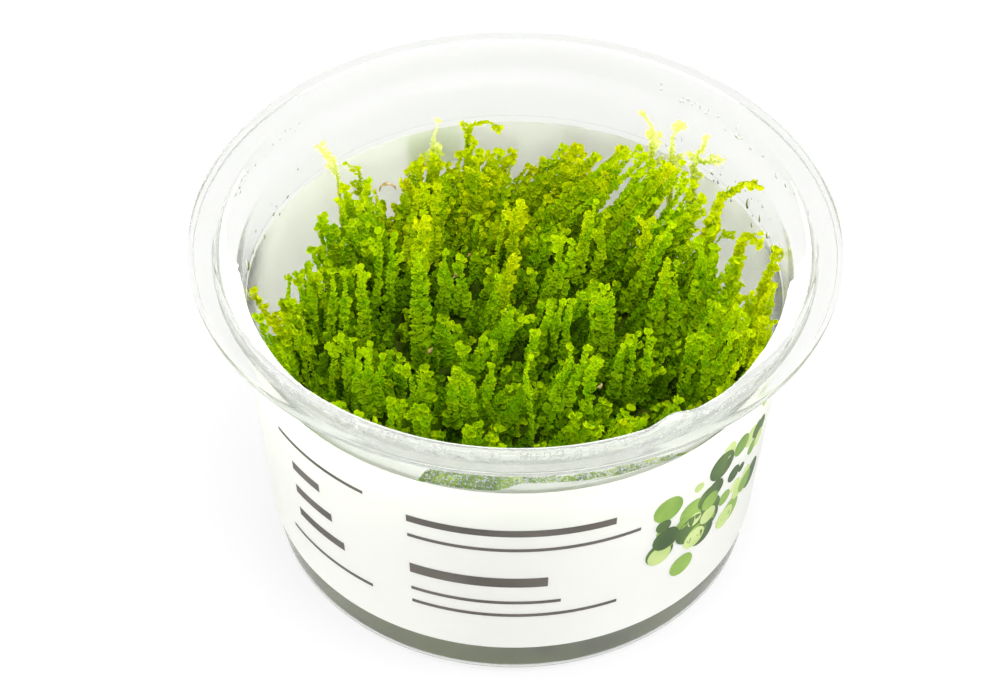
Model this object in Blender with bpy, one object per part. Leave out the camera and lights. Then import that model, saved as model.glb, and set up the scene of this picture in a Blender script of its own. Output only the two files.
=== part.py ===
# Potted aquarium moss: a see-through cup with a wrapped label, a layer of growing gel,
# a dense moss cushion, and the single shoots that stand clear of it.
# Metres, +Z up. The origin is the middle of the cup's underside, and -Y is the label's front.

import bpy
import bmesh
import math
from mathutils import Vector

# The cup: a tapered wall, a ledge, an upright collar and a flat rim with a short turned-down edge
CUP_HEIGHT = 0.0580
RIM_RADIUS = 0.0500
MOUTH_RADIUS = 0.0458
WALL_RADIUS_AT_BASE = 0.0383
WALL_SLOPE = 0.0855
WALL_THICKNESS = 0.00075
FLOOR_THICKNESS = 0.0011
HEEL_RADIUS = 0.0018
BEAD_HEIGHT = 0.0463
BEAD_HALF_WIDTH = 0.0008
BEAD_PROUD = 0.0006
LEDGE_HEIGHT = 0.0525
LEDGE_RISE = 0.0013
LEDGE_ROUNDING = 0.0005
COLLAR_THICKNESS = 0.0008
RIM_THICKNESS = 0.0011
RIM_EDGE_DROP = 0.0018
RIM_EDGE_THICKNESS = 0.0008
RIM_ROUNDING = 0.0004

# The label: one film wrapped round the wall
LABEL_BOTTOM = 0.0070
LABEL_TOP = 0.0450
LABEL_THICKNESS = 0.0002

# The gel and the moss
GAP = 0.0003
GEL_TOP = 0.0092
GEL_MENISCUS = 0.0007
GEL_MENISCUS_WIDTH = 0.0030
MOSS_TOP = 0.0385
MOSS_EDGE_GAP = 0.0011
MOSS_EDGE_DROP = 0.0035
MOSS_EDGE_WIDTH = 0.0045
MOSS_LUMP = 0.00045
MOSS_SIDE_STEPS = (0.0, 0.25, 0.7)
MOSS_RINGS = 15
# Small waves over the cushion's top: radians per metre along X and Y, and the phase
MOSS_WAVES = (
    (620, 90, 1),
    (-160, 540, 2),
    (430, 430, 0),
)

# The taller clumps of the cushion: bearing in degrees, distance from the axis, extra height, spread
CLUMPS = (
    (141, 0.0340, 0.0062, 0.0050),
    (115, 0.0355, 0.0052, 0.0040),
    (98, 0.0360, 0.0062, 0.0034),
    (75, 0.0355, 0.0068, 0.0040),
    (60, 0.0360, 0.0085, 0.0042),
    (45, 0.0355, 0.0080, 0.0046),
    (33, 0.0335, 0.0050, 0.0045),
    (8, 0.0350, 0.0040, 0.0050),
    (-24, 0.0345, 0.0036, 0.0060),
    (-62, 0.0330, 0.0036, 0.0070),
    (-96, 0.0335, 0.0034, 0.0070),
    (-130, 0.0330, 0.0030, 0.0060),
    (52, 0.0190, 0.0030, 0.0075),
    (150, 0.0170, 0.0026, 0.0070),
    (-80, 0.0120, 0.0022, 0.0080),
)
# Where the cushion stands back from the wall: bearing in degrees, depth, half width in degrees
HOLLOWS = (
    (172, 0.0036, 26),
    (127, 0.0026, 8),
    (87, 0.0022, 6),
    (20, 0.0020, 9),
)

# The shoots that stand clear: name, thickness, then points from root to tip as
# (x, y, z) in millimetres; a root's z is None where it starts just above the cushion
SHOOTS = (
    ("shoot_back_left_tall", 1.0,
     ((-28.6, 27.2, None), (-29.4, 27.6, 47.5), (-30.3, 26.8, 50.5), (-31.0, 25.9, 53.0))),
    ("shoot_back_left_curl", 1.0,
     ((-25.4, 28.6, None), (-25.6, 29.2, 44.5), (-27.0, 29.4, 45.8), (-28.0, 28.9, 47.2))),
    ("shoot_back_thin", 0.9,
     ((-14.3, 34.6, None), (-13.8, 35.4, 46.0), (-13.2, 36.0, 48.2), (-12.9, 36.4, 49.8))),
    ("shoot_back_loop", 1.2,
     ((-8.4, 36.4, None), (-8.0, 37.2, 46.6), (-6.4, 37.5, 48.6), (-4.4, 37.4, 48.9),
      (-2.9, 37.0, 47.6))),
    ("shoot_back_right_inner", 1.4,
     ((22.2, 32.4, None), (22.0, 33.6, 49.6), (21.4, 34.4, 51.8), (20.6, 34.8, 53.0))),
    ("shoot_back_right_middle", 1.2,
     ((25.4, 30.2, None), (25.2, 31.2, 49.6), (25.9, 31.6, 52.6), (27.0, 31.0, 54.4))),
    ("shoot_back_right_fork", 1.3,
     ((28.4, 27.6, None), (29.0, 28.2, 49.0), (29.9, 27.9, 51.6), (30.3, 27.4, 54.6))),
    ("shoot_back_right_branch", 0.9,
     ((30.5, 27.1, 49.8), (31.6, 26.1, 51.2), (32.6, 25.2, 52.2))),
    ("shoot_right_leaning", 3.0,
     ((30.0, 18.6, None), (32.2, 19.8, 47.2), (34.4, 20.2, 50.0), (36.3, 19.0, 52.6),
      (38.2, 16.6, 54.0))),
    ("shoot_right_arch", 1.8,
     ((34.6, 11.6, None), (35.8, 12.6, 46.0), (37.4, 12.0, 47.4), (38.6, 10.4, 47.2))),
    ("shoot_right_wall", 1.6,
     ((37.6, 4.6, None), (38.7, 5.2, 44.0), (39.3, 5.6, 47.0), (39.7, 5.9, 50.0))),
    ("shoot_left_wall", 1.1,
     ((-36.9, 2.0, None), (-38.2, 1.2, 39.0), (-39.4, 0.4, 41.6), (-40.0, 0.0, 43.8))),
    ("shoot_left_front", 1.1,
     ((-35.4, -3.4, None), (-36.4, -3.0, 40.0), (-37.4, -2.6, 42.0))),
    ("shoot_middle_left", 2.0,
     ((-15.6, 14.2, None), (-15.0, 15.0, 44.4), (-14.6, 15.8, 46.4))),
    ("shoot_middle_back", 1.6,
     ((-0.8, 18.2, None), (-0.2, 19.0, 44.6), (0.8, 19.4, 46.6))),
    ("shoot_middle", 1.6,
     ((-1.8, 6.6, None), (-1.2, 7.4, 43.8), (-0.6, 8.0, 45.6))),
    ("shoot_middle_right", 1.8,
     ((19.8, 14.8, None), (20.8, 15.6, 45.6), (21.8, 16.0, 47.4))),
)
SHOOT_ROOT_GAP = 0.0009
SHOOT_TIP_SHARE = 0.45

AROUND = 64
SHARP_EDGE_DEGREES = 30
MERGE_DISTANCE = 0.000002
MILLIMETRE = 0.001


def clear_scene():
    for thing in list(bpy.data.objects):
        bpy.data.objects.remove(thing, do_unlink=True)


def principled(name, colour, roughness, alpha=1.0, transmission=0.0, ior=1.45):
    material = bpy.data.materials.new(name)
    material.use_nodes = True
    shader = material.node_tree.nodes["Principled BSDF"]
    shader.inputs["Base Color"].default_value = (*colour, 1.0)
    shader.inputs["Roughness"].default_value = roughness
    shader.inputs["Metallic"].default_value = 0.0
    shader.inputs["Alpha"].default_value = alpha
    shader.inputs["Transmission Weight"].default_value = transmission
    shader.inputs["IOR"].default_value = ior
    material.diffuse_color = (*colour, alpha)
    return material


def cup_plastic():
    return principled("cup_plastic", (0.90, 0.92, 0.90), 0.25, alpha=0.45, ior=1.49)


def label_film():
    return principled("label_film", (0.91, 0.91, 0.89), 0.45)


def clear_gel():
    return principled("clear_gel", (0.45, 0.50, 0.33), 0.10, alpha=0.7, ior=1.34)


def moss_green():
    return principled("moss_green", (0.16, 0.33, 0.01), 0.55)


def shoot_green():
    return principled("shoot_green", (0.42, 0.55, 0.02), 0.50)


def wall_radius(height):
    # Outer radius of the cup's tapered wall
    return WALL_RADIUS_AT_BASE + WALL_SLOPE * height


def inner_radius(height):
    return wall_radius(height) - WALL_THICKNESS


def arc(centre_x, centre_z, radius, start, end, steps):
    # Points on a round corner, with angles in degrees from +X towards +Z
    points = []
    for step in range(steps + 1):
        angle = math.radians(start + (end - start) * step / steps)
        points.append((centre_x + radius * math.cos(angle), centre_z + radius * math.sin(angle)))
    return points


def turned(name, profile, material, closed=False):
    # A profile of (radius, height) points turned once round the Z axis
    mesh = bpy.data.meshes.new(name)
    shape = bmesh.new()
    verts = [shape.verts.new((radius, 0.0, height)) for radius, height in profile]
    edges = [shape.edges.new(pair) for pair in zip(verts, verts[1:])]
    if closed:
        edges.append(shape.edges.new((verts[-1], verts[0])))
    bmesh.ops.spin(shape, geom=verts + edges, cent=(0, 0, 0), axis=(0, 0, 1),
                   angle=2 * math.pi, steps=AROUND)
    bmesh.ops.remove_doubles(shape, verts=shape.verts, dist=MERGE_DISTANCE)
    bmesh.ops.recalc_face_normals(shape, faces=shape.faces)
    shape.to_mesh(mesh)
    shape.free()
    mesh.shade_smooth()
    mesh.set_sharp_from_angle(angle=math.radians(SHARP_EDGE_DEGREES))
    mesh.materials.append(material)
    thing = bpy.data.objects.new(name, mesh)
    bpy.context.scene.collection.objects.link(thing)
    return thing


def make_cup():
    heel = wall_radius(HEEL_RADIUS) - HEEL_RADIUS
    inner_heel = HEEL_RADIUS - WALL_THICKNESS / 2
    floor_corner = inner_radius(FLOOR_THICKNESS + inner_heel) - inner_heel
    collar_outer = MOUTH_RADIUS + COLLAR_THICKNESS / 2
    collar_inner = collar_outer - COLLAR_THICKNESS
    underside = CUP_HEIGHT - RIM_THICKNESS
    edge_bottom = CUP_HEIGHT - RIM_EDGE_DROP
    edge_inner = RIM_RADIUS - RIM_EDGE_THICKNESS
    rounding_height = CUP_HEIGHT - RIM_ROUNDING
    ledge_top = LEDGE_HEIGHT + LEDGE_RISE

    outer = [(0.0, 0.0)]
    outer += arc(heel, HEEL_RADIUS, HEEL_RADIUS, -90, -5, 4)
    outer += [(wall_radius(BEAD_HEIGHT - BEAD_HALF_WIDTH), BEAD_HEIGHT - BEAD_HALF_WIDTH)]
    outer += arc(wall_radius(BEAD_HEIGHT), BEAD_HEIGHT, BEAD_PROUD, -50, 50, 3)
    outer += [(wall_radius(BEAD_HEIGHT + BEAD_HALF_WIDTH), BEAD_HEIGHT + BEAD_HALF_WIDTH)]
    outer += [(wall_radius(LEDGE_HEIGHT), LEDGE_HEIGHT)]
    outer += [(collar_outer - LEDGE_ROUNDING, ledge_top - LEDGE_ROUNDING)]
    outer += [(collar_outer, ledge_top), (collar_outer, underside)]
    outer += [(edge_inner, underside), (edge_inner, edge_bottom), (RIM_RADIUS, edge_bottom)]
    outer += arc(RIM_RADIUS - RIM_ROUNDING, rounding_height, RIM_ROUNDING, 0, 90, 2)

    inner = arc(MOUTH_RADIUS + RIM_ROUNDING, rounding_height, RIM_ROUNDING, 90, 180, 2)
    inner += [(collar_inner, underside - RIM_ROUNDING)]
    inner += [(collar_inner, ledge_top + LEDGE_ROUNDING)]
    inner += [(collar_inner - LEDGE_ROUNDING, ledge_top)]
    inner += [(inner_radius(LEDGE_HEIGHT) + LEDGE_ROUNDING, LEDGE_HEIGHT + LEDGE_ROUNDING)]
    inner += [(inner_radius(LEDGE_HEIGHT), LEDGE_HEIGHT)]
    inner += arc(floor_corner, FLOOR_THICKNESS + inner_heel, inner_heel, 0, -90, 4)
    inner += [(0.0, FLOOR_THICKNESS)]
    return turned("cup", outer + inner, cup_plastic())


def make_label():
    inside = GAP
    outside = GAP + LABEL_THICKNESS
    profile = (
        (wall_radius(LABEL_BOTTOM) + inside, LABEL_BOTTOM),
        (wall_radius(LABEL_BOTTOM) + outside, LABEL_BOTTOM),
        (wall_radius(LABEL_TOP) + outside, LABEL_TOP),
        (wall_radius(LABEL_TOP) + inside, LABEL_TOP),
    )
    return turned("label", profile, label_film(), closed=True)


def make_gel():
    bottom = FLOOR_THICKNESS + GAP
    corner = inner_radius(bottom) - GAP - HEEL_RADIUS
    edge = inner_radius(GEL_TOP) - GAP
    profile = [(0.0, bottom)]
    profile += arc(corner, bottom + HEEL_RADIUS, HEEL_RADIUS, -90, -5, 3)
    profile += [(edge, GEL_TOP + GEL_MENISCUS)]
    profile += [(edge - GEL_MENISCUS_WIDTH / 3, GEL_TOP + GEL_MENISCUS / 4)]
    profile += [(edge - GEL_MENISCUS_WIDTH, GEL_TOP), (0.0, GEL_TOP)]
    return turned("agar_gel", profile, clear_gel())


def bearing_gap(first, second):
    # Smallest turn between two bearings, in degrees
    return abs((first - second + 180) % 360 - 180)


def moss_reach(bearing, height):
    # How far the cushion reaches from the axis: close to the wall, less at the hollows
    reach = inner_radius(height) - MOSS_EDGE_GAP
    for middle, depth, half_width in HOLLOWS:
        share = bearing_gap(bearing, middle) / half_width
        reach -= depth * math.exp(-share * share)
    return reach


def moss_height(x, y):
    # Height of the tips over a place in the cup
    radius = math.hypot(x, y)
    bearing = math.degrees(math.atan2(y, x))
    edge = moss_reach(bearing, MOSS_TOP) - radius
    drop = MOSS_EDGE_DROP * max(0.0, 1 - edge / MOSS_EDGE_WIDTH) ** 2
    height = MOSS_TOP - drop
    for turn, distance, rise, spread in CLUMPS:
        clump_x = distance * math.cos(math.radians(turn))
        clump_y = distance * math.sin(math.radians(turn))
        share = math.hypot(x - clump_x, y - clump_y) / spread
        height += rise * math.exp(-share * share)
    for along_x, along_y, phase in MOSS_WAVES:
        height += MOSS_LUMP * math.sin(along_x * x + along_y * y + phase)
    return height


def moss_height_near(x, y, reach):
    # The highest the cushion gets within a short distance of a place
    turns = [math.radians(45 * step) for step in range(8)]
    around = [moss_height(x + reach * math.cos(turn), y + reach * math.sin(turn)) for turn in turns]
    return max(around + [moss_height(x, y)])


def make_moss():
    bottom = GEL_TOP + GEL_MENISCUS + GAP
    side = [bottom + step * (MOSS_TOP - bottom) for step in MOSS_SIDE_STEPS]
    top_reach = moss_reach(0, MOSS_TOP)
    profile = [(0.0, bottom)]
    profile += [(moss_reach(0, height), height) for height in side]
    profile += [(top_reach * ring / MOSS_RINGS, CUP_HEIGHT) for ring in range(MOSS_RINGS, -1, -1)]
    thing = turned("moss_cushion", profile, moss_green())
    for vert in thing.data.vertices:
        bearing = math.degrees(math.atan2(vert.co.y, vert.co.x))
        level = min(vert.co.z, MOSS_TOP)
        scale = moss_reach(bearing, level) / moss_reach(0, level)
        vert.co.x *= scale
        vert.co.y *= scale
        if vert.co.z > MOSS_TOP:
            vert.co.z = moss_height(vert.co.x, vert.co.y)
    thing.data.update()
    return thing


def smooth_route(points):
    # A smooth curve through the route's own points, with one more point in each stretch
    ends = [2 * points[0] - points[1]] + points + [2 * points[-1] - points[-2]]
    route = []
    for before, start, end, after in zip(ends, ends[1:], ends[2:], ends[3:]):
        route.append(start)
        route.append((9 * (start + end) - before - after) / 16)
    return route + [points[-1]]


def make_shoot(name, thickness, points, material):
    curve = bpy.data.curves.new(name, "CURVE")
    curve.dimensions = "3D"
    curve.bevel_mode = "ROUND"
    curve.bevel_depth = thickness * MILLIMETRE / 2
    curve.bevel_resolution = 1
    curve.use_fill_caps = True
    placed = []
    for x, y, z in points:
        place = Vector((x, y, z or 0)) * MILLIMETRE
        if z is None:
            place.z = moss_height_near(place.x, place.y, curve.bevel_depth) + SHOOT_ROOT_GAP
        placed.append(place)
    route = smooth_route(placed)
    spline = curve.splines.new("POLY")
    spline.points.add(len(route) - 1)
    for index, place in enumerate(route):
        spline.points[index].co = (*place, 1.0)
        spline.points[index].radius = 1 - (1 - SHOOT_TIP_SHARE) * index / (len(route) - 1)
    curve.materials.append(material)
    thing = bpy.data.objects.new(name, curve)
    bpy.context.scene.collection.objects.link(thing)
    return thing


def make_shoots():
    material = shoot_green()
    for name, thickness, points in SHOOTS:
        make_shoot(name, thickness, points, material)


clear_scene()
make_cup()
make_label()
make_gel()
make_moss()
make_shoots()
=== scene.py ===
import math

import bpy
import numpy as np
from mathutils import Matrix, Vector
from mathutils.bvhtree import BVHTree


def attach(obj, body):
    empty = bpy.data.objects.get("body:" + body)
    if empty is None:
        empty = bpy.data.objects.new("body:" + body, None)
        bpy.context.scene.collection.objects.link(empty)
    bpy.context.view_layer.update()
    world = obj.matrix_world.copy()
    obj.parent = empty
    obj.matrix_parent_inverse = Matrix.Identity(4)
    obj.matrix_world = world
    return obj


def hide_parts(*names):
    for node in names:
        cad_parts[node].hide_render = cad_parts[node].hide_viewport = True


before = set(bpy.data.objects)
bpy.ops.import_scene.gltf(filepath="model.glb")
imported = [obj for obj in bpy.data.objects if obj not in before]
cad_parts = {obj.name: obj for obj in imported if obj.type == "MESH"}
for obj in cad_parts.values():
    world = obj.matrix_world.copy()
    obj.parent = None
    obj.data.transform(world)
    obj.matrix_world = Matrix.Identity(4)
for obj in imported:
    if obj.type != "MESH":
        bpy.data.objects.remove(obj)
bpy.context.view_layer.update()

# A cup of aquarium moss: clear plastic cup, wrapped label, growing gel and a stand of leafy shoots.
# Lengths in the settings are millimetres, angles are degrees; -Y is the label's front.
mm = 0.001

print("frame loaded")


# Small helpers for nodes and meshes

def newGroup(name, inputs, outputs):
    group = bpy.data.node_groups.new(name, "ShaderNodeTree")
    for socketName, socketType, value in inputs:
        socket = group.interface.new_socket(socketName, in_out="INPUT", socket_type=socketType)
        socket.default_value = value
    for socketName, socketType in outputs:
        group.interface.new_socket(socketName, in_out="OUTPUT", socket_type=socketType)
    start = group.nodes.new("NodeGroupInput")
    end = group.nodes.new("NodeGroupOutput")
    return group, start, end


def addNode(tree, kind, inputs=None, **settings):
    node = tree.nodes.new(kind)
    for key, value in settings.items():
        setattr(node, key, value)
    for key, value in (inputs or {}).items():
        socket = node.inputs[key]
        if isinstance(value, bpy.types.NodeSocket):
            tree.links.new(value, socket)
        else:
            socket.default_value = value
    return node


def addRamp(tree, factor, stops):
    ramp = addNode(tree, "ShaderNodeValToRGB", {"Fac": factor})
    elements = ramp.color_ramp.elements
    while len(elements) < len(stops):
        elements.new(1.0)
    for element, (place, colour) in zip(elements, stops):
        element.position = place
        element.color = (*colour, 1.0)
    return ramp.outputs["Color"]


def mixColour(tree, factor, first, second, blend="MIX"):
    node = tree.nodes.new("ShaderNodeMix")
    node.data_type = "RGBA"
    node.blend_type = blend
    for socket, value in ((node.inputs[0], factor), (node.inputs[6], first), (node.inputs[7], second)):
        if isinstance(value, bpy.types.NodeSocket):
            tree.links.new(value, socket)
        elif isinstance(value, tuple):
            socket.default_value = (*value, 1.0)
        else:
            socket.default_value = value
    return node.outputs[2]


def calc(tree, operation, first, second=0.0, clamp=False):
    node = tree.nodes.new("ShaderNodeMath")
    node.operation = operation
    node.use_clamp = clamp
    for socket, value in ((node.inputs[0], first), (node.inputs[1], second)):
        if isinstance(value, bpy.types.NodeSocket):
            tree.links.new(value, socket)
        else:
            socket.default_value = value
    return node.outputs[0]


def newMaterial(name):
    material = bpy.data.materials.new(name)
    material.use_nodes = True
    tree = material.node_tree
    return material, tree, tree.nodes["Principled BSDF"]


def setRoughness(tree, shader, share, limits):
    # roughness between two limits, by a mask
    low, high = limits
    rough = calc(tree, "MULTIPLY_ADD", share, high - low)
    rough.node.inputs[2].default_value = low
    tree.links.new(rough, shader.inputs["Roughness"])


def setBump(tree, shader, height, strength, distance):
    bump = addNode(tree, "ShaderNodeBump", {"Height": height, "Strength": strength, "Distance": distance})
    tree.links.new(bump.outputs["Normal"], shader.inputs["Normal"])


def letThrough(tree, shader, colour, share):
    # a thin leaf, film or layer of ink lets part of the light through
    lit = addNode(tree, "ShaderNodeBsdfTranslucent", {"Color": colour})
    both = addNode(tree, "ShaderNodeMixShader", {0: share})
    tree.links.new(shader.outputs["BSDF"], both.inputs[1])
    tree.links.new(lit.outputs["BSDF"], both.inputs[2])
    tree.links.new(both.outputs["Shader"], tree.nodes["Material Output"].inputs["Surface"])


def addPiece(name, vertices, faces, material, smooth=True):
    mesh = bpy.data.meshes.new(name)
    mesh.from_pydata(vertices, [], faces)
    mesh.materials.append(material)
    if smooth:
        mesh.shade_smooth()
    piece = bpy.data.objects.new(name, mesh)
    bpy.context.scene.collection.objects.link(piece)
    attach(piece, "root")
    return piece


def turnedMesh(profile, around):
    # rows of vertices round the Z axis from a closed loop of (radius, height) points, and the faces between
    turns = np.linspace(0, 2 * math.pi, around, endpoint=False)
    vertices = [(r * math.sin(t), -r * math.cos(t), z) for r, z in profile for t in turns]
    faces = []
    rows = len(profile)
    for row in range(rows):
        nextRow = (row + 1) % rows
        for step in range(around):
            nextStep = (step + 1) % around
            faces.append((row * around + step, row * around + nextStep,
                          nextRow * around + nextStep, nextRow * around + step))
    return vertices, faces


def roundCorner(centre, radius, start, end, steps):
    return [(centre[0] + radius * math.cos(math.radians(a)), centre[1] + radius * math.sin(math.radians(a)))
            for a in np.linspace(start, end, steps + 1)]


# Effects that several finishes share

def makeLeafMottle():
    # cell grain and soft blotches of a living leaf
    group, start, end = newGroup(
        "leafMottle",
        [("Blotch Scale", "NodeSocketFloat", 260.0), ("Cell Scale", "NodeSocketFloat", 2600.0),
         ("Contrast", "NodeSocketFloat", 0.5)],
        [("Blotch", "NodeSocketFloat"), ("Cells", "NodeSocketFloat")])
    place = addNode(group, "ShaderNodeTexCoord").outputs["Object"]
    blotch = addNode(group, "ShaderNodeTexNoise", {"Vector": place, "Scale": start.outputs["Blotch Scale"],
                                                   "Detail": 3.0, "Roughness": 0.6})
    spread = calc(group, "SUBTRACT", blotch.outputs["Fac"], 0.5)
    spread = calc(group, "MULTIPLY", spread, start.outputs["Contrast"])
    group.links.new(calc(group, "ADD", spread, 0.5, clamp=True), end.inputs["Blotch"])
    cells = addNode(group, "ShaderNodeTexVoronoi", {"Vector": place, "Scale": start.outputs["Cell Scale"]},
                    feature="DISTANCE_TO_EDGE")
    group.links.new(cells.outputs["Distance"], end.inputs["Cells"])
    return group


def makeMouldHaze():
    # flow lines round a moulded wall, cloudy haze and fine pitting
    group, start, end = newGroup(
        "mouldHaze",
        [("Flow Scale", "NodeSocketFloat", 90.0), ("Haze Scale", "NodeSocketFloat", 60.0),
         ("Pit Scale", "NodeSocketFloat", 1500.0)],
        [("Haze", "NodeSocketFloat"), ("Ripple", "NodeSocketFloat")])
    place = addNode(group, "ShaderNodeTexCoord").outputs["Object"]
    stretched = addNode(group, "ShaderNodeMapping", {"Vector": place, "Scale": (1.0, 1.0, 5.0)})
    haze = addNode(group, "ShaderNodeTexNoise",
                   {"Vector": place, "Scale": start.outputs["Haze Scale"], "Detail": 4.0})
    flow = addNode(group, "ShaderNodeTexNoise", {"Vector": stretched.outputs["Vector"],
                                                 "Scale": start.outputs["Flow Scale"], "Detail": 2.0})
    pits = addNode(group, "ShaderNodeTexNoise",
                   {"Vector": place, "Scale": start.outputs["Pit Scale"], "Detail": 2.0})
    group.links.new(haze.outputs["Fac"], end.inputs["Haze"])
    fine = calc(group, "MULTIPLY", pits.outputs["Fac"], 0.25)
    group.links.new(calc(group, "ADD", flow.outputs["Fac"], fine), end.inputs["Ripple"])
    return group


leafMottle = makeLeafMottle()
mouldHaze = makeMouldHaze()


# Finishes

cupFinish = {
    "tint": (0.865, 0.873, 0.853),
    "hazeTint": (0.840, 0.850, 0.828),
    "clear": 0.95,
    "roughness": (0.13, 0.27),
    "ior": 1.10,
    "bump": 0.03,
}


def makeCupPlastic(look=cupFinish):
    material, tree, shader = newMaterial("cupPlastic")
    haze = addNode(tree, "ShaderNodeGroup", node_tree=mouldHaze)
    colour = mixColour(tree, haze.outputs["Haze"], look["tint"], look["hazeTint"])
    tree.links.new(colour, shader.inputs["Base Color"])
    setRoughness(tree, shader, haze.outputs["Haze"], look["roughness"])
    shader.inputs["IOR"].default_value = look["ior"]
    shader.inputs["Transmission Weight"].default_value = look["clear"]
    setBump(tree, shader, haze.outputs["Ripple"], look["bump"], 0.0004)
    return material


dropFinish = {"tint": (0.99, 1.0, 0.99), "roughness": 0.02, "ior": 1.33}


def makeDropWater(look=dropFinish):
    material, tree, shader = newMaterial("condensationDrops")
    haze = addNode(tree, "ShaderNodeGroup", node_tree=mouldHaze)
    colour = mixColour(tree, haze.outputs["Haze"], look["tint"], (0.96, 0.98, 0.96))
    tree.links.new(colour, shader.inputs["Base Color"])
    shader.inputs["Roughness"].default_value = look["roughness"]
    shader.inputs["IOR"].default_value = look["ior"]
    shader.inputs["Transmission Weight"].default_value = 1.0
    return material


gelFinish = {
    # tint: the gel's own olive, darkened as painted shade for the moss above that keeps the light from it
    "tint": (0.200, 0.235, 0.045),
    "stain": (0.105, 0.120, 0.022),
    "roughness": (0.28, 0.45),
    "clear": 0.80,
    "ior": 1.30,
    "bump": 0.03,
}


def makeGelJelly(look=gelFinish):
    material, tree, shader = newMaterial("growingGel")
    haze = addNode(tree, "ShaderNodeGroup", {"Haze Scale": 70.0, "Flow Scale": 150.0, "Pit Scale": 240.0},
                   node_tree=mouldHaze)
    stain = addRamp(tree, haze.outputs["Haze"], [(0.45, look["tint"]), (0.66, look["stain"])])
    tree.links.new(stain, shader.inputs["Base Color"])
    setRoughness(tree, shader, haze.outputs["Haze"], look["roughness"])
    shader.inputs["IOR"].default_value = look["ior"]
    shader.inputs["Transmission Weight"].default_value = look["clear"]
    setBump(tree, shader, haze.outputs["Ripple"], look["bump"], 0.0006)
    return material


# Colours from the shaded foot of a shoot to its lit tip
leafFinish = {
    "along": [(0.0, (0.050, 0.130, 0.0005)), (0.30, (0.100, 0.270, 0.0008)), (0.70, (0.200, 0.465, 0.0010)),
              (1.0, (0.480, 0.700, 0.002))],
    # from bluish to yellowish shoots, over that; shoots by the lit walls are pushed yellowish, as painted
    # light
    "tint": [(0.0, (0.84, 0.92, 1.0)), (0.5, (1.0, 1.0, 1.0)), (1.0, (1.40, 0.99, 0.8))],
    # the rim colour below is a painted highlight on each leaf's edge, strongest towards the tips
    "rim": (0.90, 0.94, 0.004),
    "paintedRimLightShare": 0.62, "paintedRimLightPower": 1.3,
    # the share below paints light on the outer part of each leaf and shade at its base by the stem
    "paintedEdgeLight": 0.34,
    "roughness": (0.30, 0.50),
    "shine": 0.10,
    "through": 0.45,
    # the light let through below is raised past what comes in: a painted glow
    "paintedGlowGain": 1.25,
    "bump": 0.25,
}


# Thin shoots that stand in the light above the rest, painted pale, near white at the tips: painted light for
# the strong light on and through them
paintedLitFinish = dict(leafFinish)
paintedLitFinish["along"] = [(0.0, (0.20, 0.42, 0.002)), (0.35, (0.50, 0.64, 0.004)), (0.65, (0.68, 0.75, 0.06)),
                        (1.0, (0.86, 0.88, 0.62))]
# a paler painted highlight on the leaf edges
paintedLitFinish["rim"] = (0.88, 0.90, 0.62)
paintedLitFinish["paintedRimLightShare"] = 0.45
paintedLitFinish["through"] = 0.58


def makeLeafGreen(name, look):
    # growth holds: how far along the shoot, how near the leaf's rim, the shoot's tint (raised by painted
    # light by the lit walls), and in its alpha how far out from the stem
    material, tree, shader = newMaterial(name)
    growth = addNode(tree, "ShaderNodeAttribute", attribute_name="growth")
    parts = addNode(tree, "ShaderNodeSeparateColor", {"Color": growth.outputs["Color"]})
    along, rim, shoot = parts.outputs[0], parts.outputs[1], parts.outputs[2]
    mottle = addNode(tree, "ShaderNodeGroup", node_tree=leafMottle)
    # painted highlight and shade: each leaf lighter away from the stem, darker at its base
    paintedEdgeLight = calc(tree, "MULTIPLY_ADD", growth.outputs["Alpha"], look["paintedEdgeLight"])
    paintedEdgeLight.node.inputs[2].default_value = -0.5 * look["paintedEdgeLight"]
    blotchy = calc(tree, "MULTIPLY_ADD", mottle.outputs["Blotch"], 0.5)
    blotchy.node.inputs[2].default_value = -0.25
    place = calc(tree, "ADD", calc(tree, "ADD", along, paintedEdgeLight), blotchy, clamp=True)
    colour = addRamp(tree, place, look["along"])
    colour = mixColour(tree, 1.0, colour, addRamp(tree, shoot, look["tint"]), "MULTIPLY")
    # painted highlight: the rim colour laid over each leaf's edge, more of it towards the tip
    nearTip = calc(tree, "POWER", along, look["paintedRimLightPower"])
    paintedRimLightShare = calc(tree, "MULTIPLY", calc(tree, "MULTIPLY", rim, look["paintedRimLightShare"]), nearTip)
    colour = mixColour(tree, paintedRimLightShare, colour, look["rim"])
    tree.links.new(colour, shader.inputs["Base Color"])
    setRoughness(tree, shader, mottle.outputs["Blotch"], look["roughness"])
    shader.inputs["Specular IOR Level"].default_value = look["shine"]
    shader.inputs["Specular Tint"].default_value = (0.8, 1.0, 0.20, 1.0)
    setBump(tree, shader, mottle.outputs["Cells"], look["bump"], 0.0001)
    # painted glow: the colour let through is multiplied past one
    glowGain = look["paintedGlowGain"]
    through = mixColour(tree, 1.0, colour, (glowGain, glowGain, glowGain * 0.5), "MULTIPLY")
    letThrough(tree, shader, through, look["through"])
    return material


bedFinish = {"dark": (0.008, 0.016, 0.001), "green": (0.030, 0.065, 0.001), "brown": (0.045, 0.036, 0.006)}


def makeBedMoss(look=bedFinish):
    material, tree, shader = newMaterial("shadedMossFoot")
    mottle = addNode(tree, "ShaderNodeGroup", {"Blotch Scale": 420.0, "Contrast": 1.6}, node_tree=leafMottle)
    colour = addRamp(tree, mottle.outputs["Blotch"],
                     [(0.25, look["dark"]), (0.55, look["green"]), (0.85, look["brown"])])
    tree.links.new(colour, shader.inputs["Base Color"])
    shader.inputs["Roughness"].default_value = 0.9
    shader.inputs["Specular IOR Level"].default_value = 0.05
    setBump(tree, shader, mottle.outputs["Blotch"], 0.8, 0.001)
    return material


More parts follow.
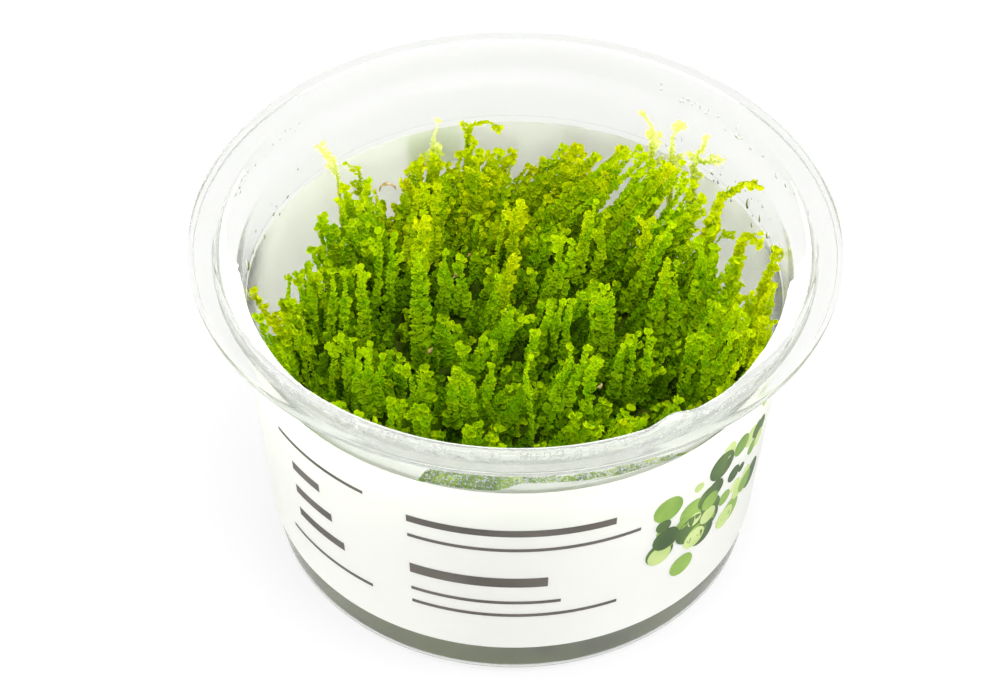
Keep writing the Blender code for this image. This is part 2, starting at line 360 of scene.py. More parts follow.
labelFinish = {
    "paper": (0.900, 0.903, 0.885),
    "roughness": 0.42,
    "through": 0.60,
    # the light let through below is raised past what comes in: a painted glow that brightens the cup's walls
    # from inside
    "paintedGlowGain": 1.12,
}


def makeLabelFilm(look=labelFinish):
    material, tree, shader = newMaterial("labelFilm")
    haze = addNode(tree, "ShaderNodeGroup", {"Haze Scale": 45.0, "Pit Scale": 4000.0}, node_tree=mouldHaze)
    shaded = tuple(0.975 * c for c in look["paper"])
    cloudy = addRamp(tree, haze.outputs["Haze"], [(0.3, look["paper"]), (0.8, shaded)])
    tree.links.new(cloudy, shader.inputs["Base Color"])
    shader.inputs["Roughness"].default_value = look["roughness"]
    setBump(tree, shader, haze.outputs["Ripple"], 0.05, 0.0003)
    # painted glow: the colour let through is multiplied past one
    glowGain = look["paintedGlowGain"]
    through = mixColour(tree, 1.0, cloudy, (glowGain, glowGain, glowGain * 0.97), "MULTIPLY")
    letThrough(tree, shader, through, look["through"])
    return material


fogFinish = {"white": (0.97, 0.98, 0.95), "grey": (0.93, 0.95, 0.91), "through": 0.32}


def makeWallFog(look=fogFinish):
    # the milky film of very fine condensation on the inside of the wall
    material, tree, shader = newMaterial("wallFog")
    haze = addNode(tree, "ShaderNodeGroup", {"Haze Scale": 300.0, "Pit Scale": 3000.0}, node_tree=mouldHaze)
    colour = addRamp(tree, haze.outputs["Haze"], [(0.4, look["white"]), (0.7, look["grey"])])
    tree.links.new(colour, shader.inputs["Base Color"])
    shader.inputs["Roughness"].default_value = 0.6
    setBump(tree, shader, haze.outputs["Ripple"], 0.3, 0.0002)
    letThrough(tree, shader, colour, look["through"])
    return material


def makeInk(name, dark, light, scale, through=0.35):
    # printing ink that thins a little in places
    material, tree, shader = newMaterial(name)
    haze = addNode(tree, "ShaderNodeGroup", {"Haze Scale": scale, "Pit Scale": 5000.0}, node_tree=mouldHaze)
    colour = addRamp(tree, haze.outputs["Haze"], [(0.35, dark), (0.68, light)])
    tree.links.new(colour, shader.inputs["Base Color"])
    shader.inputs["Roughness"].default_value = 0.45
    setBump(tree, shader, haze.outputs["Ripple"], 0.05, 0.0002)
    letThrough(tree, shader, light + (1.0,), through)
    return material


def makeDriedLeaf():
    material, tree, shader = newMaterial("driedLeaf")
    mottle = addNode(tree, "ShaderNodeGroup", {"Blotch Scale": 900.0, "Contrast": 1.8}, node_tree=leafMottle)
    colour = addRamp(tree, mottle.outputs["Blotch"],
                     [(0.2, (0.20, 0.11, 0.02)), (0.5, (0.44, 0.30, 0.10)), (0.8, (0.62, 0.48, 0.25))])
    tree.links.new(colour, shader.inputs["Base Color"])
    shader.inputs["Roughness"].default_value = 0.6
    setBump(tree, shader, mottle.outputs["Cells"], 0.4, 0.0002)
    return material


cupPlastic = makeCupPlastic()
driedLeaf = makeDriedLeaf()
dropWater = makeDropWater()
gelJelly = makeGelJelly()
leafGreen = makeLeafGreen("mossLeaf", leafFinish)
# pale leaves, painted with the strong light that falls on and through them
leafPaintedLit = makeLeafGreen("paintedLitLeaf", paintedLitFinish)
bedMoss = makeBedMoss()
labelFilm = makeLabelFilm()
wallFog = makeWallFog()
inkGrey = makeInk("greyInk", (0.085, 0.075, 0.062), (0.130, 0.118, 0.098), 120.0)
inkDeep = makeInk("deepInk", (0.040, 0.085, 0.020), (0.11, 0.19, 0.04), 160.0)
inkGreen = makeInk("greenInk", (0.16, 0.30, 0.04), (0.30, 0.46, 0.08), 160.0)
inkLight = makeInk("lightInk", (0.42, 0.55, 0.16), (0.60, 0.70, 0.30), 160.0)
inkPale = makeInk("paleInk", (0.90, 0.95, 0.78), (0.93, 0.97, 0.84), 160.0, 0.78)
print("finishes made")


# Camera, light and floor

cameraSet = {
    "distance": 342.74, "height": 362.89,
    "down": 43.895, "turn": -0.366, "roll": 0.586,
    "lens": 108.0,
}


def placeCamera(look=cameraSet):
    camera = bpy.data.objects.new("photoCamera", bpy.data.cameras.new("photoCamera"))
    bpy.context.scene.collection.objects.link(camera)
    bpy.context.scene.camera = camera
    camera.data.lens = look["lens"]
    camera.data.sensor_width = 36.0
    camera.data.clip_start = 0.01
    down = math.radians(look["down"])
    turn = math.radians(look["turn"])
    roll = math.radians(look["roll"])
    level = Matrix.Rotation(-turn, 3, "Z")
    right = level @ Vector((1, 0, 0))
    ahead = level @ Vector((0, math.cos(down), -math.sin(down)))
    up = level @ Vector((0, math.sin(down), math.cos(down)))
    across = math.cos(roll) * right + math.sin(roll) * up
    upright = math.cos(roll) * up - math.sin(roll) * right
    camera.matrix_world = Matrix((
        (across.x, upright.x, -ahead.x, 0.0),
        (across.y, upright.y, -ahead.y, -look["distance"] * mm),
        (across.z, upright.z, -ahead.z, look["height"] * mm),
        (0.0, 0.0, 0.0, 1.0)))


lightSet = {
    "sky": (1.0, 1.0, 1.0), "skyStrength": 0.62,
    "lamps": [("softTop", (0.12, -0.18, 0.90), 0.45, 7.0), ("softFront", (-0.06, -0.85, 0.24), 0.50, 6.1),
              ("softBack", (0.00, 0.85, 0.20), 0.50, 2.7), ("softLeft", (-0.85, 0.10, 0.20), 0.50, 7.1),
              ("softRight", (0.85, 0.00, 0.20), 0.50, 6.2)],
}


def lightScene(look=lightSet):
    world = bpy.data.worlds.new("paleStudio")
    world.use_nodes = True
    background = world.node_tree.nodes["Background"]
    background.inputs["Color"].default_value = (*look["sky"], 1.0)
    background.inputs["Strength"].default_value = look["skyStrength"]
    bpy.context.scene.world = world
    for name, place, size, power in look["lamps"]:
        lamp = bpy.data.lights.new(name, "AREA")
        lamp.shape = "DISK"
        lamp.size = size
        lamp.energy = power
        thing = bpy.data.objects.new(name, lamp)
        bpy.context.scene.collection.objects.link(thing)
        thing.location = place
        thing.rotation_mode = "QUATERNION"
        thing.rotation_quaternion = (Vector((0, 0, 0.03)) - Vector(place)).to_track_quat("-Z", "Y")
    bpy.context.scene.view_settings.view_transform = "Standard"


floorSet = {"half": 4.0, "dark": (0.115, 0.115, 0.115), "pale": (0.125, 0.125, 0.125), "glow": 0.80}


def makeFloor(look=floorSet):
    material, tree, shader = newMaterial("paleFloor")
    grain = addNode(tree, "ShaderNodeTexNoise", {"Scale": 40.0, "Detail": 3.0})
    pale = addRamp(tree, grain.outputs["Fac"], [(0.3, look["dark"]), (0.7, look["pale"])])
    tree.links.new(pale, shader.inputs["Base Color"])
    shader.inputs["Emission Color"].default_value = (1.0, 1.0, 1.0, 1.0)
    shader.inputs["Emission Strength"].default_value = look["glow"]
    shader.inputs["Roughness"].default_value = 0.9
    half = look["half"]
    corners = [(-half, -half, 0), (half, -half, 0), (half, half, 0), (-half, half, 0)]
    mesh = bpy.data.meshes.new("floor")
    mesh.from_pydata(corners, [], [(0, 1, 2, 3)])
    mesh.materials.append(material)
    floor = bpy.data.objects.new("floor", mesh)
    bpy.context.scene.collection.objects.link(floor)


placeCamera()
lightScene()
makeFloor()
print("camera, light and floor set")


# Cup

cupSet = {
    "height": 58.0, "rimRadius": 50.0, "mouthRadius": 45.8,
    "baseRadius": 38.3, "slope": 0.0855, "wall": 0.75, "floor": 0.42, "heel": 1.8,
    # the wall thins towards the foot: its thickness there, from which height on, and the inner heel
    "footWall": 0.25, "footTop": 12.0, "innerHeel": 1.65,
    "bead": (46.3, 0.8, 0.15), "ledge": (52.5, 1.3, 0.5), "collar": 0.8,
    "rim": 1.1, "edgeDrop": 1.8, "edgeWall": 0.8, "rounding": 0.4, "around": 256,
    "labelBacking": 0.26,
    # how far the mouth's edge rises, by bearing: the plastic is buckled at the right of the front
    "wave": [(-67, 0.0), (-65, 0.15), (-63, 0.5), (-60, 0.97), (-58.5, 0.86), (-57, 0.5), (-54, 0.14),
             (-51, 0.0), (-48, 0.05), (-45, 0.3), (-42, 0.45), (-38, 0.3), (-33, 0.1), (-28, 0.0)],
}


def wallRadius(z, look=cupSet):
    return look["baseRadius"] + look["slope"] * z


def innerRadius(z, look=cupSet):
    footBottom = look["floor"] + look["innerHeel"]
    thick = np.interp(z, (footBottom, look["footTop"]), (look["footWall"], look["wall"]))
    return wallRadius(z) - float(thick)


def heelCentre(look=cupSet):
    # the middle of the rounding between the inner wall and the floor
    z = look["floor"] + look["innerHeel"]
    return innerRadius(z) - look["innerHeel"], z


def cupProfile(look=cupSet):
    # outer side from the middle of the base up to the rim, then the inner side down to the floor
    wall = look["wall"]
    heel = look["heel"]
    beadZ, beadHalf, beadProud = look["bead"]
    ledgeZ, ledgeRise, ledgeRound = look["ledge"]
    collarOuter = look["mouthRadius"] + look["collar"] / 2
    collarInner = collarOuter - look["collar"]
    top = look["height"]
    rounding = look["rounding"]
    underside = top - look["rim"]
    edgeBottom = top - look["edgeDrop"]
    edgeInner = look["rimRadius"] - look["edgeWall"]
    backing = look["labelBacking"]
    points = [(0.02, 0.35), (24.0, 0.35), (30.0, 0.3), (33.5, 0.0)]
    points += roundCorner((wallRadius(heel) - heel, heel), heel, -88, -5, 6)
    points += [(wallRadius(6.6), 6.6), (wallRadius(7.1) + backing, 7.1), (wallRadius(20) + backing, 20.0)]
    points += [(wallRadius(32) + backing, 32.0), (wallRadius(44.7) + backing, 44.7)]
    points += [(wallRadius(45.5), 45.5)]
    points += roundCorner((wallRadius(beadZ), beadZ), beadProud, -60, 60, 6)
    points += [(wallRadius(beadZ + beadHalf + 0.2), beadZ + beadHalf + 0.2), (wallRadius(50.0), 50.0)]
    points += [(wallRadius(ledgeZ - 0.3), ledgeZ - 0.3), (wallRadius(ledgeZ) + 0.1, ledgeZ + 0.05)]
    points += roundCorner((collarOuter - ledgeRound, ledgeZ + ledgeRise), ledgeRound, -60, 0, 3)
    points += [(collarOuter, underside - 0.5)]
    points += roundCorner((collarOuter + 0.5, underside - 0.5), 0.5, 180, 90, 3)
    points += [(edgeInner - 0.3, underside), (edgeInner, underside - 0.3), (edgeInner, edgeBottom + 0.15)]
    points += [(edgeInner + 0.2, edgeBottom), (look["rimRadius"] - 0.2, edgeBottom)]
    points += [(look["rimRadius"], edgeBottom + 0.25)]
    points += roundCorner((look["rimRadius"] - rounding, top - rounding), rounding, 0, 90, 4)
    points += [(48.0, top), (46.9, top)]
    points += roundCorner((look["mouthRadius"] + rounding, top - rounding), rounding, 90, 180, 4)
    points += [(collarInner, underside - rounding), (collarInner, ledgeZ + ledgeRise + ledgeRound)]
    points += roundCorner((collarInner - ledgeRound, ledgeZ + ledgeRise + 0.5), ledgeRound, 0, -70, 3)
    innerLedge = wallRadius(ledgeZ) - wall
    points += [(innerLedge + 0.35, ledgeZ + 0.5), (innerLedge + 0.08, ledgeZ + 0.1)]
    points += [(innerRadius(z), z) for z in (51.5, 46.0, 36.0, 24.0, 12.0)]
    points += roundCorner(heelCentre(), look["innerHeel"], 0, -90, 6)
    points += [(33.0, look["floor"]), (24.0, look["floor"] + 0.25), (0.02, look["floor"] + 0.25)]
    return points


def makeCup(look=cupSet):
    profile = [(r * mm, z * mm) for r, z in cupProfile()]
    vertices, faces = turnedMesh(profile, look["around"])
    bearings = [bearing for bearing, rise in look["wave"]]
    rises = [rise for bearing, rise in look["wave"]]
    bent = []
    for x, y, z in vertices:
        r = math.hypot(x, y)
        bearing = math.degrees(math.atan2(y, x))
        rise = float(np.interp(bearing, bearings, rises))
        upwards = max(0.0, min(1.0, (z / mm - 53.0) / 4.0))
        nearMouth = max(0.0, 1 - abs(r / mm - look["mouthRadius"]) / 2.6) * upwards
        inward = 1 - 0.6 * rise * nearMouth * mm / max(r, mm)
        bent.append((x * inward, y * inward, z + rise * nearMouth * mm))
    piece = addPiece("clearCup", bent, faces, cupPlastic)
    piece.data.set_sharp_from_angle(angle=math.radians(50))
    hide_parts("cup")


makeCup()
print("cup made")


# Label

labelSet = {"bottom": 7.0, "top": 45.0, "inside": 0.30, "outside": 0.50, "around": 256, "rows": 12}


def makeLabel(look=labelSet):
    heights = np.linspace(look["bottom"], look["top"], look["rows"])
    inner = [((wallRadius(z) + look["inside"]) * mm, z * mm) for z in heights]
    outer = [((wallRadius(z) + look["outside"]) * mm, z * mm) for z in heights[::-1]]
    vertices, faces = turnedMesh(outer[::-1] + inner[::-1], look["around"])
    piece = addPiece("wrappedLabel", vertices, faces, labelFilm)
    piece.data.set_sharp_from_angle(angle=math.radians(50))
    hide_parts("label")


# Generic printing, by bearing and height: plain rules and a cluster of soft discs
rules = {
    # bearing where it starts, how long round the label, height of its middle, thickness
    "lines": [(-112.0, 44.0, 35.6, 1.5), (-112.0, 50.0, 31.6, 0.7), (-112.0, 30.0, 23.6, 2.2),
              (-112.0, 33.0, 18.6, 0.7), (-112.0, 46.0, 15.4, 0.7)],
    "panel": (-148.0, 26.0, 15.0, 37.5, 0.7), "steps": [0.26, 0.50, 0.74], "proud": 0.03,
}
discs = {
    # an oval cluster of overlapping discs: middle bearing and height, spread across and up, sizes
    "seed": 3, "middle": (-40.0, 28.5), "spread": (9.0, 5.2), "radius": (0.8, 2.9), "count": 16,
    "proud": 0.03, "edge": 24,
    # a plain block at the back: bearing, span, height, half height
    "block": (103.0, 12.5, 41.4, 3.4),
}


def inkPatch(outline, middle, proud, vertices, faces):
    # a thin closed patch on the label's outside, from (bearing, height) points round a middle
    start = len(vertices)
    count = len(outline)
    for lift in (labelSet["outside"] - 0.03, labelSet["outside"] + proud):
        for bearing, z in [middle] + outline:
            turn = math.radians(bearing)
            reach = (wallRadius(z) + lift) * mm
            vertices.append((reach * math.cos(turn), reach * math.sin(turn), z * mm))
    top = start + count + 1
    for step in range(count):
        a, b = 1 + step, 1 + (step + 1) % count
        faces.append((top, top + a, top + b))
        faces.append((start, start + b, start + a))
        faces.append((start + a, start + b, top + b, top + a))


def ruleStrip(bearing, span, z, half, proud, vertices, faces):
    # a long rule, cut into short lengths so that it follows the curve
    cuts = max(2, int(span / 2.0))
    start = len(vertices)
    for cut in range(cuts + 1):
        turn = math.radians(bearing + span * cut / cuts)
        for lift, height in ((-0.03, -half), (proud, -half), (proud, half), (-0.03, half)):
            reach = (wallRadius(z + height) + labelSet["outside"] + lift) * mm
            vertices.append((reach * math.cos(turn), reach * math.sin(turn), (z + height) * mm))
    for cut in range(cuts):
        a = start + 4 * cut
        for side in range(4):
            after = (side + 1) % 4
            faces.append((a + side, a + 4 + side, a + 4 + after, a + after))
    faces.append((start, start + 1, start + 2, start + 3))
    last = start + 4 * cuts
    faces.append((last + 3, last + 2, last + 1, last))


def printRules(look=rules):
    vertices, faces = [], []
    for bearing, span, z, thick in look["lines"]:
        ruleStrip(bearing, span, z, thick / 2, look["proud"], vertices, faces)
    bearing, span, low, high, thick = look["panel"]
    for z in (low, high):
        ruleStrip(bearing, span, z, thick / 2, look["proud"], vertices, faces)
    for share in look["steps"]:
        z = low + (high - low) * share
        ruleStrip(bearing + 4.0, span - 8.0 - 12.0 * share, z, 0.9, look["proud"], vertices, faces)
    piece = addPiece("labelRules", vertices, faces, inkGrey, smooth=False)
    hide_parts("label")


def printDiscs(look=discs):
    random = np.random.default_rng(look["seed"])
    for number, (name, ink) in enumerate((("Deep", inkDeep), ("Green", inkGreen), ("Light", inkLight))):
        vertices, faces = [], []
        for place in range(look["count"]):
            away = np.clip(random.normal(0, 1, 2), -1.8, 1.8)
            spot = np.array(look["middle"]) + away * np.array(look["spread"])
            bearing, z = spot[0], spot[1] + 0.25 * (spot[0] - look["middle"][0])
            radius = random.uniform(*look["radius"]) * (1.1 - 0.15 * number)
            reach = wallRadius(z) + labelSet["outside"]
            turns = np.linspace(0, 2 * math.pi, look["edge"], endpoint=False)
            outline = [(bearing + math.degrees(radius * math.cos(t) / reach), z + radius * math.sin(t))
                       for t in turns]
            # each disc lies a little higher than the last, so that no two share a plane
            proud = look["proud"] + 0.0015 * (3 * place + number)
            inkPatch(outline, (bearing, z), proud, vertices, faces)
        piece = addPiece("labelDiscs" + name, vertices, faces, ink, smooth=False)
        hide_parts("label")
    vertices, faces = [], []
    bearing, span, z, half = look["block"]
    ruleStrip(bearing, span, z, half, look["proud"], vertices, faces)
    piece = addPiece("labelBlock", vertices, faces, inkPale, smooth=False)
    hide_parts("label")


makeLabel()
printRules()
printDiscs()
print("label made")


# Condensation inside the cup: a milky film at the front, and drops

fogSet = {
    "thick": 0.04, "rows": 12,
    # where the film lies: height and radius, following the wall, the ledge and the collar
    "height": (43.0, 52.2, 52.8, 53.2, 53.95, 54.4, 57.2),
    "reach": (41.20, 42.00, 42.10, 42.35, 44.65, 45.10, 45.15),
    # bearing, lower and upper edge: the sheet round the front, and a tongue below it
    "films": [
        [(-199, 57.1, 57.2), (-192, 55.6, 57.2), (-184, 54.2, 57.2), (-174, 53.2, 57.2), (-166, 52.3, 57.2),
         (-160, 49.0, 57.2), (-154, 45.6, 57.2), (-148, 44.2, 57.2), (-140, 43.8, 57.2), (-112, 43.75, 57.2),
         (-109.5, 44.0, 57.2), (-107.5, 47.0, 57.2), (-105, 48.0, 57.2),
         (-98, 48.3, 57.2), (-91, 48.1, 57.2), (-84, 47.7, 57.2), (-78, 47.4, 57.2), (-72, 47.2, 57.2),
         (-67, 47.0, 57.2), (-62, 46.6, 57.2), (-57, 45.7, 57.2), (-54, 44.8, 57.2), (-51, 43.8, 57.2),
         (-34, 43.9, 57.2), (-29, 45.2, 57.2), (-22, 49.0, 57.2), (-16, 52.3, 57.2), (-7, 53.2, 57.2),
         (3, 54.2, 57.2), (11, 55.6, 57.2), (18, 57.1, 57.2)],
        [(-108, 43.75, 44.0), (-100, 43.75, 44.2), (-93, 43.75, 44.4), (-90.5, 43.75, 45.4),
         (-88, 43.75, 46.3), (-80, 43.75, 46.0), (-74, 43.75, 45.5), (-68, 43.75, 45.2),
         (-63, 43.75, 45.0), (-57, 43.75, 44.3), (-53, 43.75, 43.85)],
    ],
    # the sheet's lower edge is wavy above this height
    "wavyFrom": 45.4,
    # fine specks of mist in the clear gap between the two, and the bearings they lie between
    "seed": 31, "specks": 640, "size": (0.06, 0.15), "gap": (-108.0, -54.0),
}


def makeFog(look=fogSet):
    # thin closed films on the inside of the cup, with wavy edges
    vertices, faces = [], []
    rows = look["rows"]
    for edge in look["films"]:
        bearings = np.arange(edge[0][0], edge[-1][0] + 0.5, 0.5)
        ripple = 0.10 * np.sin(0.9 * bearings) + 0.05 * np.sin(2.3 * bearings + 1)
        lows = np.interp(bearings, [b for b, low, high in edge], [low for b, low, high in edge])
        tops = np.interp(bearings, [b for b, low, high in edge], [high for b, low, high in edge])
        lows = np.where(lows > look["wavyFrom"], lows + ripple, lows)
        tops = np.maximum(lows + 0.05, tops)
        start = len(vertices)
        for bearing, low, top in zip(bearings, lows, tops):
            turn = math.radians(bearing)
            heights = np.linspace(low, top, rows)
            for z, lift in [(z, 0.0) for z in heights] + [(z, look["thick"]) for z in heights[::-1]]:
                reach = (float(np.interp(z, look["height"], look["reach"])) - lift) * mm
                vertices.append((reach * math.cos(turn), reach * math.sin(turn), z * mm))
        loop = 2 * rows
        count = len(bearings)
        for step in range(count - 1):
            a = start + loop * step
            for side in range(loop):
                after = (side + 1) % loop
                faces.append((a + side, a + after, a + loop + after, a + loop + side))
        for first in (start, start + loop * (count - 1)):
            for row in range(rows - 1):
                corners = (first + row, first + row + 1, first + loop - 2 - row, first + loop - 1 - row)
                faces.append(corners[::-1] if first == start else corners)
    random = np.random.default_rng(look["seed"])
    upper, lower = (np.array(film) for film in look["films"])
    for speck in range(look["specks"]):
        bearing = random.uniform(*look["gap"])
        low = np.interp(bearing, lower[:, 0], lower[:, 2])
        high = np.interp(bearing, upper[:, 0], upper[:, 1])
        size = random.uniform(*look["size"])
        addDrop(bearing, random.uniform(low, high), size, size, vertices, faces, 6, 4)
    piece = addPiece("wallFog", vertices, faces, wallFog, smooth=False)
    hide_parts("cup")


dropSet = {
    "seed": 5, "gap": 0.03,
    # drops seen one by one on the right and left inside: bearing, height, half width, half height
    "single": [(52.3, 55.6, 0.45, 0.30), (54.0, 54.6, 0.40, 0.28), (38.5, 54.4, 0.75, 0.50),
               (42.2, 53.9, 0.35, 0.25), (40.3, 47.8, 0.40, 0.35), (26.9, 48.3, 0.42, 1.05),
               (21.2, 48.5, 0.32, 0.75), (16.2, 48.0, 0.45, 0.60), (11.2, 48.4, 0.80, 0.80),
               (34.4, 54.2, 0.35, 0.45), (24.7, 54.0, 0.32, 0.60), (30.0, 55.0, 0.30, 0.40),
               (20.5, 54.8, 0.30, 0.50), (-12.1, 56.0, 0.35, 0.50), (33.0, 47.0, 0.25, 0.35),
               (24.0, 45.5, 0.28, 0.50), (178.6, 49.6, 0.60, 1.05), (163.3, 54.2, 0.30, 0.40),
               (158.4, 47.8, 0.35, 0.40), (152.0, 47.8, 0.35, 0.35), (164.2, 46.3, 0.30, 0.35),
               (172.0, 48.2, 0.30, 0.55), (168.0, 50.0, 0.25, 0.35), (-176.0, 47.5, 0.30, 0.30)],
    # the row round the front of the collar: bearings, step from drop to drop, heights, sizes
    "row": (-150.0, -30.0), "rowStep": (1.2, 2.6), "rowHeight": (54.3, 55.6), "rowSize": (0.40, 0.80),
    # finer drops at the left and the right, on the collar or the wall
    "fineCount": 90, "fineLeft": (140, 185), "fineRight": (8, 62), "fineSize": (0.10, 0.24),
    "fineCollar": (54.3, 56.3), "fineWall": (45.5, 51.0),
    # the finest ones over the clear strip at the front
    "mistCount": 300, "mistBearing": (-109, -60), "mistHeight": (44.6, 48.0), "mistSize": (0.08, 0.18),
}


def addDrop(bearing, z, halfWide, halfHigh, vertices, faces, around, rings, look=dropSet):
    # a flattened bead of water against the inside of the collar or the wall
    onCollar = z > 53.4
    reach = 45.4 if onCollar else wallRadius(z) - cupSet["wall"]
    slope = 0.0 if onCollar else cupSet["slope"]
    thick = 0.5 * min(halfWide, halfHigh)
    turn = math.radians(bearing)
    outward = np.array([math.cos(turn), math.sin(turn), 0.0])
    sideways = np.array([-math.sin(turn), math.cos(turn), 0.0])
    upward = slope * outward + np.array([0, 0, 1.0])
    centre = outward * (reach - thick - look["gap"]) + np.array([0, 0, z])
    start = len(vertices)
    vertices.append(tuple((centre - halfHigh * upward) * mm))
    for ring in range(1, rings):
        level = -math.cos(math.pi * ring / rings)
        width = math.sin(math.pi * ring / rings)
        for step in range(around):
            t = 2 * math.pi * step / around
            wide = halfWide * (1 - 0.18 * level)
            point = centre + level * halfHigh * upward + width * (
                wide * math.cos(t) * sideways + thick * math.sin(t) * outward)
            vertices.append(tuple(point * mm))
    vertices.append(tuple((centre + halfHigh * upward) * mm))
    end = len(vertices) - 1
    for step in range(around):
        after = (step + 1) % around
        faces.append((start, start + 1 + after, start + 1 + step))
        faces.append((end, end - around + step, end - around + after))
        for ring in range(rings - 2):
            a, b = start + 1 + ring * around + step, start + 1 + ring * around + after
            faces.append((a, b, b + around, a + around))


def makeDrops(look=dropSet):
    random = np.random.default_rng(look["seed"])
    vertices, faces = [], []
    for bearing, z, halfWide, halfHigh in look["single"]:
        addDrop(bearing, z, halfWide, halfHigh, vertices, faces, 12, 8)
    bearing, rowEnd = look["row"]
    while bearing < rowEnd:
        size = random.uniform(*look["rowSize"])
        z = random.uniform(*look["rowHeight"])
        addDrop(bearing, z, size, size * random.uniform(0.8, 1.1), vertices, faces, 12, 8)
        bearing += random.uniform(*look["rowStep"])
    for number in range(look["fineCount"]):
        side = random.choice(("fineLeft", "fineRight"), p=(0.35, 0.65))
        bearing = random.uniform(*look[side])
        zone = "fineCollar" if random.uniform() < 0.55 else "fineWall"
        z = random.uniform(*look[zone])
        size = random.uniform(*look["fineSize"])
        addDrop(bearing, z, size, size * random.uniform(0.9, 1.9), vertices, faces, 8, 5)
    for number in range(look["mistCount"]):
        bearing = random.uniform(*look["mistBearing"])
        size = random.uniform(*look["mistSize"])
        addDrop(bearing, random.uniform(*look["mistHeight"]), size, size, vertices, faces, 6, 4)
    piece = addPiece("condensationDrops", vertices, faces, dropWater)
    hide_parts("cup")


makeFog()
makeDrops()
print("condensation made")


# Gel

gelSet = {"top": 9.2, "meniscus": 0.7, "gap": 0.05, "around": 192}


def makeGel(look=gelSet):
    gap = look["gap"]
    edgeTop = look["top"] + look["meniscus"]
    bottom = cupSet["floor"] + gap
    points = [(0.02, bottom + 0.25), (24.0, bottom + 0.25), (33.0, bottom)]
    points += roundCorner(heelCentre(), cupSet["innerHeel"] - gap, -90, 0, 6)
    points += [(innerRadius(5.5) - gap, 5.5), (innerRadius(edgeTop) - gap, edgeTop)]
    points += [(innerRadius(edgeTop) - gap - 0.8, look["top"] + 0.2)]
    points += [(innerRadius(look["top"]) - gap - 3, look["top"])]
    points += [(20.0, look["top"] + 0.1), (0.02, look["top"])]
    vertices, faces = turnedMesh([(r * mm, z * mm) for r, z in points], look["around"])
    piece = addPiece("growingGel", vertices, faces, gelJelly)
    piece.data.set_sharp_from_angle(angle=math.radians(50))
    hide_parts("agar_gel")


makeGel()
print("gel made")


# Moss

class LeafHeap:
    # gathers the leaves and stems of many shoots, for one mesh
    def __init__(self, seed):
        self.rows = []
        self.stems = []
        self.random = np.random.default_rng(seed)

    def add(self, root, axis, up, length, width, cup, growth):
        self.rows.append((root, axis, up, length, width, cup, growth))


# how far along a shoot its leaves stop being hidden, and the rings of a hidden and of a seen leaf
leafShape = {"seenFrom": 0.50, "hidden": (5, (1.0,)), "seen": (6, (0.74, 1.0))}


def leafTemplate(edge, rings):
    # a round leaf one unit long that starts at the origin: middle point and rings out to the rim
    turns = math.pi + 2 * math.pi * np.arange(edge) / edge
    parts = [np.zeros((1, 2))]
    for share in rings:
        parts.append(share * 0.5 * np.stack([np.cos(turns), np.sin(turns)], 1))
    flat = np.concatenate(parts)
    away = np.linalg.norm(flat, axis=1) * 2
    faces = []
    for step in range(edge):
        after = (step + 1) % edge
        faces.append((0, 1 + step, 1 + after))
        for ring in range(len(rings) - 1):
            a, b = 1 + ring * edge + step, 1 + ring * edge + after
            faces += [(a, a + edge, b + edge), (a, b + edge, b)]
    return flat + np.array([0.5, 0.0]), away, np.array(faces)


def shapeLeaves(leaves, random, edge, rings):
    flat, away, faces = leafTemplate(edge, rings)
    root, axis, up, length, width, cup, growth = leaves
    count = len(root)
    side = np.cross(up, axis)
    phase = random.uniform(0, 2 * math.pi, (count, 1))
    turns = np.arctan2(flat[:, 1], flat[:, 0] - 0.5)[None, :]
    ruffle = 1 + random.uniform(0.03, 0.12, (count, 1)) * np.sin(3 * turns + phase) * away[None, :]
    u = (flat[None, :, 0] - 0.5) * ruffle + 0.5
    v = flat[None, :, 1] * ruffle * width[:, None]
    lift = cup[:, None] * away[None, :] ** 2 + 0.16 * np.sin(2 * turns + 2 * phase) * away[None, :] ** 2
    points = (root[:, None, :] + length[:, None, None] * (
        u[:, :, None] * axis[:, None, :] + v[:, :, None] * side[:, None, :]
        + lift[:, :, None] * up[:, None, :]))
    triangles = (faces[None, :, :] + (np.arange(count) * len(flat))[:, None, None]).reshape(-1, 3)
    colours = np.empty((count, len(flat), 4), np.float32)
    colours[:, :, 0] = np.clip(growth[:, 0:1] + 0.24 * (growth[:, 2:3] - 0.5), 0, 1)
    colours[:, :, 1] = away[None, :] ** 8
    colours[:, :, 2] = growth[:, 1:2]
    colours[:, :, 3] = np.clip(u, 0, 1)
    return points.reshape(-1, 3), triangles, colours.reshape(-1, 4)


def buildLeaves(heap, look=leafShape):
    leaves = [np.concatenate([row[k] for row in heap.rows]) for k in range(7)]
    seen = leaves[6][:, 3] > look["seenFrom"]
    hidden = shapeLeaves([values[~seen] for values in leaves], heap.random, *look["hidden"])
    fine = shapeLeaves([values[seen] for values in leaves], heap.random, *look["seen"])
    return joinArrays(hidden, fine)


def joinArrays(first, second):
    points, triangles, colours = first
    more, faces, paint = second
    return (np.concatenate([points, more]), np.concatenate([triangles, faces + len(points)]),
            np.concatenate([colours, paint]))


